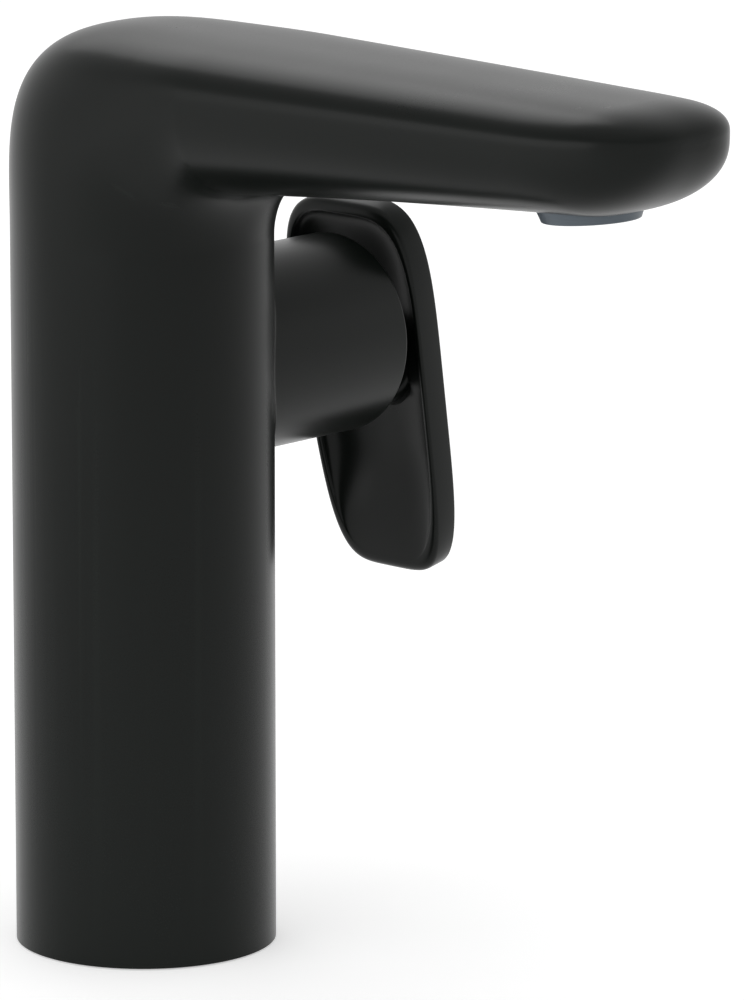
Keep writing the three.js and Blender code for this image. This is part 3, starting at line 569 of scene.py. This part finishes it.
def moulded_plastic(make, tone):
    """Off-white engineering plastic with flow clouds and a fine spark grain."""
    flow = make.noise(70, 3)
    grain = make.noise(2400, 1)
    base = make.mottle(flow, tone, 0.93, 1.05)
    return make.surface(Base_Color=base, Roughness=0.42 + 0.12 * grain, Subsurface_Weight=0.05,
                        Normal=make.bump(grain, 0.01 * MM, 0.4))


def lapped_ceramic(make, tone):
    """Lapped ceramic with faint specks."""
    specks = make.band(make.noise(1800, 1), 0.68, 0.74)
    cloud = make.noise(200, 2)
    base = make.mottle(cloud, tone, 0.96, 1.02)
    base = make.tint(specks * 0.5, base, shaded(tone, 0.6))
    return make.surface(Base_Color=base, Roughness=0.12 + 0.06 * cloud, Coat_Weight=0.2,
                        Normal=make.bump(cloud, 0.005 * MM, 0.3))


# The finish and the colour of each material slot
FINISHES = {
    "matt_black": (satin_black_coat, "coat"),
    "aerator_grey": (blue_grey_ring, "ring"),
    "brass": (machined_brass, "brass"),
    "steel": (brushed_steel, "steel"),
    "rubber": (moulded_rubber, "rubber"),
    "white_plastic": (moulded_plastic, "plastic"),
    "ceramic": (lapped_ceramic, "ceramic"),
}
made_finishes = {}


def finish_of(slot):
    if slot not in made_finishes:
        build, colour_name = FINISHES[slot]
        tone = tuple(getattr(bpy.context.scene.mixer_colours, colour_name))
        made_finishes[slot] = build(Finish(build.__name__), tone)
    return made_finishes[slot]


# Casting: column, bend, spout and hub
class Casting:
    """Sections of the cast body, drawn in by a wall where it is the hollow."""

    def __init__(self, sizes, outlet):
        self.s = sizes
        self.o = outlet
        self.column_top = sizes.root_under + sizes.root_depth
        self.tip_under = sizes.root_under + sizes.tip_rise
        self.tip_top = self.tip_under + sizes.tip_depth
        self.root = sizes.column_radius + sizes.fillet_depth

    def top_at(self, reach):
        return mix(self.column_top, self.tip_top, reach / self.s.reach)

    def run_at(self, reach):
        return (reach - self.s.column_radius) / (self.s.reach - self.s.column_radius)

    def under_at(self, reach):
        run = self.run_at(reach)
        return mix(self.s.root_under, self.tip_under, run * (1 + self.s.bow * (1 - run)))

    def half_at(self, reach):
        run = max(0, min(1, self.run_at(reach)))
        return mix(self.s.column_radius, self.s.tip_half, run ** self.s.taper_power)

    def section(self, facets, half, low, high, middle, lower_power, upper_power):
        """A superellipse ring between two (y, z) points, widest at a share of its height."""
        angle = 2 * np.pi * np.arange(facets) / facets
        power = np.where(np.arange(facets) < facets / 2, upper_power, lower_power)
        rise = soft_power(np.sin(angle), power)
        run = np.where(rise > 0, mix(middle, 1, rise), middle * (1 + rise))
        across = half * soft_power(np.cos(angle), power)
        return np.stack([across, mix(low[0], high[0], run), mix(low[1], high[1], run)], axis=1)

    def crown(self, start, steps):
        """Side view of the back and the round top corner, as (y, z) pairs."""
        s = self.s
        back_top = start + s.crown_rise
        crown_height = self.top_at(-s.column_radius) - back_top
        crown_start = s.column_radius - s.crown_depth
        line = [(s.column_radius, mix(start, back_top, i / BACK_ROWS)) for i in range(BACK_ROWS)]
        for i in range(steps + 1):
            angle = math.pi / 2 * i / steps
            y = crown_start + s.crown_depth * soft_power(math.cos(angle), s.crown_power)
            fall = 1 - soft_power(math.sin(angle), s.crown_power)
            line.append((y, self.top_at(-y) - crown_height * fall))
        for i in range(1, steps // 2 + 1):
            y = mix(crown_start, -self.root, i / (steps // 2))
            line.append((y, self.top_at(-y)))
        return line

    def bend(self, inset, facets, steps):
        """Sections that fan out from a pivot in the corner below the spout."""
        s = self.s
        pivot = np.array([-self.root, self.under_at(self.root) - s.fillet_height])
        rings = []
        for outer in self.crown(pivot[1], steps):
            ray = np.array(outer) - pivot
            angle = math.atan2(ray[1], ray[0])
            share = angle / (math.pi / 2)
            blend = soft_step(share)
            bump = (4 * share * (1 - share)) ** 2
            near = 1 / math.hypot(math.cos(angle) / s.fillet_depth, math.sin(angle) / s.fillet_height)
            size = np.linalg.norm(ray)
            low = pivot + ray / size * (near + inset)
            high = pivot + ray / size * (size - inset)
            half = mix(s.column_radius, self.half_at(self.root), blend) - inset
            middle = mix(ROUND_MIDDLE, s.middle, blend) + s.bend_middle * bump
            rings.append(self.section(facets, half, low, high, middle,
                                      mix(ROUND_POWER, s.root_power, blend) + s.bend_power * bump,
                                      mix(ROUND_POWER, s.upper_power, blend)))
        return rings

    def spout(self, inset, facets, steps):
        """Sections of the spout, closer together where its tip rounds off."""
        s = self.s
        end = s.reach - inset
        nose = mix(self.under_at(s.reach), self.top_at(s.reach), s.nose)
        rings = []
        for i in range(1, steps + 1):
            reach = mix(self.root, end, math.sin(math.pi / 2 * TIP_TURN_SHARE * i / steps))
            left = end - reach
            plan_run = 1 - left / s.plan_length
            top_fall = rounded_fall(1 - left / s.top_length, s.top_power)
            under_fall = rounded_fall(1 - left / s.under_length, s.under_power)
            top = mix(nose, self.top_at(reach) - inset, top_fall)
            under = mix(nose, self.under_at(reach) + inset, under_fall)
            half = (self.half_at(reach) - inset) * rounded_fall(plan_run, s.plan_power)
            tip_run = max(0, min(1, plan_run))
            middle = mix(s.middle, (nose - under) / (top - under), tip_run ** 2)
            lower = mix(s.root_power, s.lower_power, soft_step(min(1, i / steps / ROOT_RUN_SHARE)))
            rings.append(self.section(facets, half, (-reach, under), (-reach, top), middle,
                                      mix(lower, s.end_power, tip_run),
                                      mix(s.upper_power, s.end_power, tip_run)))
        return rings

    def skin(self, name, inset, foot, facets, steps):
        radius = self.s.column_radius - inset
        column = self.section(facets, radius, (-radius, foot), (radius, foot), ROUND_MIDDLE, ROUND_POWER,
                              ROUND_POWER)
        return loft(name, [column, *self.bend(inset, facets, steps), *self.spout(inset, facets, 2 * steps)])

    def outlet_place(self):
        reach = self.s.reach - self.o.setback
        return place_at(0, -reach, self.under_at(reach) - self.o.drop, -self.o.tilt, "X")

    def hub(self, fillet_steps=7, mouth_steps=6):
        """The hub with a rolling-ball fillet where it meets the column, and a rounded mouth."""
        s = self.s
        ball = s.hub_fillet
        column = s.column_radius - SUNK
        rings = [[] for _ in range(fillet_steps + 2)]
        turns = [2 * math.pi * i / HUB_FACETS for i in range(HUB_FACETS)]
        for angle in turns:
            across, up = math.sin(angle), math.cos(angle)
            y = (s.hub_radius + ball) * across
            z = (s.hub_radius + ball) * up
            x = math.sqrt((column + ball) ** 2 - y ** 2)
            centre = np.array([x, y, z])
            on_column = np.array([x, y, 0]) / (column + ball) * column + np.array([0, 0, z])
            on_hub = np.array([x, s.hub_radius * across, s.hub_radius * up])
            start, end = on_column - centre, on_hub - centre
            spread = math.acos(max(-1, min(1, start @ end / ball ** 2)))
            rings[0].append(on_column - np.array([OVERRUN, 0, 0]))
            for k in range(fillet_steps + 1):
                share = k / fillet_steps
                spot = start * math.sin((1 - share) * spread) + end * math.sin(share * spread)
                rings[k + 1].append(centre + spot / math.sin(spread))
        mouth = (s.hub_reach - s.hub_edge, s.hub_radius - s.hub_edge)
        for x, radius in arc(mouth, s.hub_edge, 90, 0, mouth_steps):
            rings.append([np.array([x, radius * math.sin(angle), radius * math.cos(angle)])
                          for angle in turns])
        lift = np.array([0, 0, s.root_under - s.hub_drop])
        return loft("hub", [[point + lift for point in ring] for ring in rings][::-1])


class MIXER_OT_casting(Operator):
    """Column, bend, spout and hub in one casting"""
    bl_idname = "mixer.casting"
    bl_label = "Build Casting"

    def execute(self, context):
        s, o, f = context.scene.mixer_body, context.scene.mixer_outlet, context.scene.mixer_foot
        shape = Casting(s, o)
        hub, outlet = hub_place(s), shape.outlet_place()
        body = shape.skin("casting_shell", 0, s.foot, *SKIN_DETAIL)
        carve(body, "UNION", shape.hub())
        whole = copy_of(body)
        cut(body, shape.skin("hollow", s.wall, s.foot - OVERRUN, *HOLLOW_DETAIL))
        mouth = s.hub_reach - s.hub_edge / 2
        cut(body, revolve("bore", [
            (0, 0), (s.hub_bore, 0), (s.hub_bore, mouth), (s.hub_bore + OVERRUN, mouth + OVERRUN),
            (0, mouth + OVERRUN)], HUB_FACETS, hub))
        for boss in (
            rod(s.seat_boss, -s.column_radius, -s.housing_back - FIT_GAP, place=hub),
            rod(o.boss_radius, 0, s.column_radius, place=outlet),
        ):
            carve(body, "UNION", carve(boss, "INTERSECT", copy_of(whole)))
        bpy.data.objects.remove(whole)
        plug_low = f.gasket_height + FIT_GAP
        for tool in (
            rod(o.seat_radius, -s.column_radius, o.show, LARGE_FACETS, outlet),
            rod(o.radius + FIT_GAP, 0, o.pocket_top, place=outlet),
            rod(o.plenum_radius, 0, o.pocket_top + o.plenum_height, SMALL_FACETS, outlet),
            rod(s.column_radius - s.wall, -OVERRUN, plug_low + f.plug_height + FIT_GAP, LARGE_FACETS),
            rod(f.gasket_outer + FIT_GAP, -OVERRUN, plug_low, LARGE_FACETS),
        ):
            cut(body, tool)
        finish_piece(body, "casting_shell", "body", "matt_black", "body_casting")
        return {"FINISHED"}


class MIXER_OT_dome(Operator):
    """Domed trim ring in the hub's mouth"""
    bl_idname = "mixer.dome"
    bl_label = "Build Dome Ring"

    outer_steps, hole_steps, inner_steps = 16, 5, 12

    def execute(self, context):
        s = context.scene.mixer_body
        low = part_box("dome_ring")[0].x
        outer, wall, edge = s.hub_bore - FIT_GAP, s.dome_wall, s.dome_edge
        hole = s.dome_hole + edge

        def on_dome(radius, across):
            return across, context.scene.mixer_lever.pivot_reach + math.sqrt(radius ** 2 - across ** 2)

        outline = [(outer - wall, low), (outer, low)]
        for i in range(self.outer_steps + 1):
            outline.append(on_dome(s.dome_radius, mix(outer, hole, i / self.outer_steps)))
        crest = outline[-1][1]
        outline += arc((hole, crest - edge), edge, 90, 180, self.hole_steps)[1:]
        for i in range(self.inner_steps + 1):
            across = mix(s.dome_hole, outer - wall, i / self.inner_steps)
            outline.append(on_dome(s.dome_radius - wall, across))
        ring = revolve("dome_trim", outline, RING_FACETS, hub_place(s))
        finish_piece(ring, "dome_trim", "body", "matt_black", "dome_ring")
        return {"FINISHED"}


class MIXER_OT_lever(Operator):
    """Dished paddle with its rounded lip and the boss that takes the stem"""
    bl_idname = "mixer.lever"
    bl_label = "Build Lever"

    flare_steps, boss_steps = 6, 5

    def ring(self, s, scale, insets, heights, dished):
        """One outline of the paddle; insets and heights are pairs, for its sides and for its ends."""
        index = np.arange(RING_FACETS)
        angle = 2 * np.pi * index / RING_FACETS
        power = np.where(index < RING_FACETS / 2, s.upper_power, s.lower_power)
        rise = soft_power(np.sin(angle), power)
        inset = mix(*insets, rise ** END_BLEND_POWER)
        height = mix(*heights, rise ** END_BLEND_POWER)
        x = s.drop - (s.half_length - inset) * rise * scale
        y = (s.half_width + s.taper * rise - inset) * soft_power(np.cos(angle), power) * scale
        if dished:
            place = (x - s.drop) / (2 * s.half_length) + 0.5
            run = np.clip((place - s.dish_fade) / (1 - s.dish_fade), 0, 1)
            height = height * (1 - soft_step(run))
        return np.stack([x, y, height], axis=1)

    def rings(self, s):
        """Outlines from the back's crest round the edge and over the lip to the dish's floor."""
        outside = (0, 0)
        turns = [math.pi / 2 * i / EDGE_STEPS for i in range(EDGE_STEPS + 1)]
        rounds = np.array([s.lip_round, s.end_round])
        lip = rounds - s.lip_round + s.lip
        for i in range(1, BACK_STEPS + 1):
            angle = math.pi / 2 * i / BACK_STEPS
            height = s.edge_depth + s.bulge * math.cos(angle)
            yield self.ring(s, math.sin(angle), outside, (height, height), False)
        for a in turns:
            yield self.ring(s, 1, rounds * (1 - math.cos(a)), rounds * (1 - math.sin(a)), False)
        for a in turns:
            height = s.lip_round * (1 - math.cos(a))
            yield self.ring(s, 1, lip - s.lip_round * (1 - math.sin(a)), (height, height), True)
        for i in range(DISH_STEPS - 1, 0, -1):
            run = math.sin(math.pi / 2 * i / DISH_STEPS)
            scale = run * (1 - s.lip / s.half_width)
            floor = s.edge_depth + s.bulge * math.sqrt(1 - scale ** 2) - s.wall
            height = floor * rounded_fall(run, s.dish_power)
            yield self.ring(s, run, lip, (height, height), True)

    def execute(self, context):
        s, b = context.scene.mixer_lever, context.scene.mixer_body
        paddle_place = hub_place(b) @ place_at(0, 0, s.reach, -s.lean)
        stem_place = hub_place(b) @ place_at(0, 0, s.pivot_reach, s.closed_angle)
        rings = [[paddle_place @ Vector(point) for point in ring] for ring in self.rings(s)]
        paddle = loft("lever_paddle", [np.array(ring) for ring in rings][::-1])
        slant = s.lean + s.closed_angle
        crest = s.edge_depth + s.bulge
        floor = (s.reach - s.pivot_reach + crest - s.wall) / math.cos(slant)
        end = (s.reach - s.pivot_reach + crest - s.wall / 2) / math.cos(slant)
        foot = s.boss_radius + s.boss_flare
        flare = arc((foot, floor - s.boss_flare), s.boss_flare, 180, 90, self.flare_steps)
        edge = arc((s.boss_radius - s.boss_edge, s.boss_start + s.boss_edge), s.boss_edge, 270, 360,
                   self.boss_steps)
        outline = [(0, s.boss_start), *edge, *flare, (foot, end + OVERRUN), (0, end + OVERRUN)]
        boss = revolve("boss", outline, place=stem_place)
        # A block past the paddle on all sides trims the boss within the paddle's wall
        block = 5 * s.half_length
        cut(boss, bar(block, block, crest - s.wall / 2, block, paddle_place))
        carve(paddle, "UNION", boss)
        socket = s.stem_width / 2 + FIT_GAP
        cut(paddle, bar(socket, socket, s.boss_start - OVERRUN, s.stem_end + FIT_GAP, stem_place))
        screw_place = stem_place @ place_at(0, 0, s.screw_place, math.pi / 2)
        cut(paddle, rod(s.screw_radius + FIT_GAP, 0, s.boss_radius + OVERRUN, BORE_FACETS, screw_place))
        finish_piece(paddle, "lever_paddle", "lever", "matt_black", "lever_handle")
        return {"FINISHED"}


class MIXER_OT_outlet(Operator):
    """Blue-grey ring of the outlet"""
    bl_idname = "mixer.outlet"
    bl_label = "Build Outlet Ring"

    mouth_steps, rim_steps = 5, 6

    def execute(self, context):
        o = context.scene.mixer_outlet
        place = Casting(context.scene.mixer_body, o).outlet_place()
        shoulder = o.show - FIT_GAP
        outline = arc((o.mouth_radius + o.edge, o.edge), o.edge, 180, 270, self.mouth_steps)
        outline += arc((o.rim_radius - o.edge, o.edge), o.edge, 270, 360, self.rim_steps)
        outline += [(mix(o.rim_radius, o.radius, 0.5), mix(o.edge, shoulder, 0.5)), (o.radius, shoulder),
                    (o.radius, o.length), (o.bore_radius, o.length), (o.bore_radius, o.ledge),
                    (o.mouth_radius, o.ledge)]
        ring = revolve("outlet_ring", outline, RING_FACETS, place)
        finish_piece(ring, "outlet_ring", "body", "aerator_grey", "aerator_housing")
        return {"FINISHED"}


class MIXER_OT_foot(Operator):
    """Rubber ring and threaded brass plug in the column's foot"""
    bl_idname = "mixer.foot"
    bl_label = "Build Foot"

    edge_steps = 4

    def thread(self, f, radius, low, high, x, y):
        """A ridge that winds up inside a bore and starts and ends in its wall."""
        pitch = f.thread_pitch
        count = int((high - low) / pitch * THREAD_STEPS)
        rings = []
        for i in range(count + 1):
            angle = 2 * math.pi * i / THREAD_STEPS
            centre = low + pitch * i / THREAD_STEPS
            ends = (i / THREAD_STEPS / THREAD_GROWTH, (count - i) / THREAD_STEPS / THREAD_GROWTH)
            crest = radius - f.thread_depth * min(1, *ends)
            foot = radius + THREAD_SUNK
            profile = ((foot, -THREAD_FOOT), (foot, THREAD_FOOT),
                       (crest, THREAD_CREST), (crest, -THREAD_CREST))
            rings.append(np.array([(x + r * math.cos(angle), y + r * math.sin(angle), centre + h * pitch)
                                   for r, h in profile]))
        return loft("thread", rings)

    def gasket(self, f):
        """The rubber ring, with its four edges rounded."""
        outline = []
        inner, outer = f.gasket_inner + f.edge, f.gasket_outer - f.edge
        low, high = f.edge, f.gasket_height - f.edge
        corners = {180: (inner, low), 270: (outer, low), 0: (outer, high), 90: (inner, high)}
        for start, corner in corners.items():
            outline += arc(corner, f.edge, start, start + 90, self.edge_steps)
        return revolve("foot_gasket", outline, LARGE_FACETS)

    def execute(self, context):
        f, s = context.scene.mixer_foot, context.scene.mixer_body
        low = f.gasket_height + FIT_GAP
        top = low + f.plug_height
        edge = f.edge
        finish_piece(self.gasket(f), "foot_gasket", "body", "rubber", "base_gasket")
        radius = s.column_radius - s.wall - FIT_GAP
        plug = revolve("foot_plug", [
            (0, low), (radius - edge, low), (radius, low + edge), (radius, top - edge), (radius - edge, top),
            (0, top)], LARGE_FACETS)
        bores = [(f.stud_radius, f.stud_depth, f.stud_setoff, 0)]
        for side in (-1, 1):
            x, y = -f.inlet_setback, side * f.inlet_spacing / 2
            bores.append((f.hose_radius, f.hose_depth, x, y))
            place = place_at(x, y, 0)
            cut(plug, rod(f.water_radius, low, top, BORE_FACETS, place))
            cut(plug, rod(f.socket_radius, top - f.socket_depth, top + OVERRUN, SMALL_FACETS, place))
        for bore, depth, x, y in bores:
            chamfer = [(0, low - OVERRUN), (bore + edge + OVERRUN, low - OVERRUN), (bore, low + edge),
                       (bore, low + depth), (0, low + depth)]
            cut(plug, revolve("bore", chamfer, SMALL_FACETS, place_at(x, y, 0)))
        finish_piece(plug, "foot_plug", "body", "brass", "base_plate")
        for name, (bore, depth, x, y) in zip(("stud_thread", "cold_hose_thread", "hot_hose_thread"), bores):
            start = low + THREAD_FREE_BELOW * f.thread_pitch
            stop = low + depth - THREAD_FREE_ABOVE * f.thread_pitch
            finish_piece(self.thread(f, bore, start, stop, x, y), name, "body", "brass")
        return {"FINISHED"}


class MIXER_OT_valve(Operator):
    """Finishes and soft shading of the pieces inside, which keep their CAD shape"""
    bl_idname = "mixer.valve"
    bl_label = "Finish Valve Pieces"

    def smoothing(self):
        """A node group that shades faces smooth and keeps sharp edges sharp."""
        group = bpy.data.node_groups.new("soft_shading", "GeometryNodeTree")
        group.interface.new_socket("Geometry", in_out="INPUT", socket_type="NodeSocketGeometry")
        group.interface.new_socket("Geometry", in_out="OUTPUT", socket_type="NodeSocketGeometry")
        new, link = group.nodes.new, group.links.new
        start, end = new("NodeGroupInput"), new("NodeGroupOutput")
        angle, below = new("GeometryNodeInputMeshEdgeAngle"), new("FunctionNodeCompare")
        below.data_type = "FLOAT"
        below.operation = "LESS_THAN"
        below.inputs[1].default_value = SHARP_ANGLE
        edges, faces = new("GeometryNodeSetShadeSmooth"), new("GeometryNodeSetShadeSmooth")
        edges.domain, faces.domain = "EDGE", "FACE"
        link(angle.outputs["Unsigned Angle"], below.inputs[0])
        link(start.outputs[0], edges.inputs["Geometry"])
        link(below.outputs[0], edges.inputs["Shade Smooth"])
        link(edges.outputs[0], faces.inputs["Geometry"])
        link(faces.outputs[0], end.inputs[0])
        return group

    def execute(self, context):
        slots = {row["node"]: row["material_slot"] for row in frame["record"]["subparts"]}
        group = self.smoothing()
        for name, node in frame["nodes"].items():
            if node.hide_render:
                continue
            finish = finish_of(slots[name])
            if node.material_slots:
                for place in node.material_slots:
                    place.material = finish
            else:
                node.data.materials.append(finish)
            node.modifiers.new("soft_shading", "NODES").node_group = group
        return {"FINISHED"}


class MIXER_OT_stage(Operator):
    """Floor, room light, soft boxes and camera"""
    bl_idname = "mixer.stage"
    bl_label = "Set Stage"

    def seen(self, make):
        """1 for what is seen, also in a reflection or through glass, and 0 for the light itself."""
        camera, glossy, through = (make.node("ShaderNodeLightPath", output=name)
                                   for name in ("Is Camera Ray", "Is Glossy Ray", "Is Transmission Ray"))
        return camera + glossy + through

    def room(self, context, ambient, ceiling):
        """A white room with a dimmer ceiling, which lights softly from all sides."""
        world = context.scene.world or bpy.data.worlds.new("room")
        context.scene.world = world
        make = Finish("room", world)
        light = make.node("ShaderNodeBackground", values={"Color": WHITE, "Strength": ambient})
        height = make.node("ShaderNodeSeparateXYZ", values={
            "Vector": make.node("ShaderNodeTexCoord", output="Generated")}, output="Z")
        dimmed = make.band(height, CEILING_START, CEILING_FULL)
        shown = make.node("ShaderNodeBackground", values={
            "Color": WHITE, "Strength": 1 - (1 - ceiling) * dimmed})
        both = make.node("ShaderNodeMixShader", values={0: self.seen(make), 1: light, 2: shown})
        make.node("ShaderNodeOutputWorld", values={"Surface": both})

    def floor(self):
        """A pale floor that takes the object's shadow and otherwise shows as white."""
        half = FLOOR_HALF
        corners = [(-half, -half, 0), (half, -half, 0), (half, half, 0), (-half, half, 0)]
        floor = new_piece("pale_floor", corners, [(0, 1, 2, 3)])
        make = Finish("pale_floor")
        matt = make.node("ShaderNodeBsdfDiffuse", values={"Color": FLOOR_SHADE})
        white = make.node("ShaderNodeEmission", values={
            "Color": WHITE, "Strength": FLOOR_GLOW * self.seen(make)})
        both = make.node("ShaderNodeAddShader", values={0: matt, 1: white})
        make.node("ShaderNodeOutputMaterial", values={"Surface": both})
        floor.data.materials.append(make.owner)

    def soft_box(self, name, place, size, power):
        lamp = bpy.data.lights.new(name, "AREA")
        lamp.shape = "RECTANGLE"
        lamp.size, lamp.size_y = size
        lamp.energy = power
        piece = new_object(name, lamp)
        piece.location = place
        piece.visible_camera = False
        piece.rotation_euler = (Vector(LIT_SPOT) - Vector(place)).to_track_quat("-Z", "Y").to_euler()

    def execute(self, context):
        s = context.scene.mixer_stage
        context.scene.view_settings.view_transform = "Standard"
        self.room(context, s.ambient, s.ceiling)
        self.floor()
        for (name, (place, size)), power in zip(SOFT_BOXES.items(), (s.key, s.side, s.back)):
            self.soft_box(name, place, size, power)
        camera = new_object("camera", bpy.data.cameras.new("camera"))
        camera.data.lens = s.lens
        camera.data.clip_end = VIEW_LIMIT
        camera.location = (s.distance_x, s.distance_y, s.height)
        camera.rotation_euler = (math.pi / 2 - s.pitch, 0, s.yaw)
        context.scene.camera = camera
        return {"FINISHED"}


OPERATORS = (MIXER_OT_casting, MIXER_OT_dome, MIXER_OT_lever, MIXER_OT_outlet, MIXER_OT_foot, MIXER_OT_valve,
             MIXER_OT_stage)


class MIXER_PT_panel(Panel):
    """Steps that build the mixer"""
    bl_idname = "MIXER_PT_panel"
    bl_label = "Basin Mixer"
    bl_space_type = "VIEW_3D"
    bl_region_type = "UI"
    bl_category = "Basin Mixer"

    def draw(self, context):
        for step in OPERATORS:
            self.layout.operator(step.bl_idname)


def register():
    for kind in (*GROUPS.values(), *OPERATORS, MIXER_PT_panel):
        bpy.utils.register_class(kind)
    for name, kind in GROUPS.items():
        setattr(bpy.types.Scene, name, PointerProperty(type=kind))


def unregister():
    for name in GROUPS:
        delattr(bpy.types.Scene, name)
    for kind in reversed((*GROUPS.values(), *OPERATORS, MIXER_PT_panel)):
        bpy.utils.unregister_class(kind)


def main():
    register()
    bpy.ops.mixer.casting()
    bpy.ops.mixer.dome()
    bpy.ops.mixer.lever()
    bpy.ops.mixer.outlet()
    bpy.ops.mixer.foot()
    bpy.ops.mixer.valve()
    bpy.ops.mixer.stage()


if __name__ == "__main__":
    main()
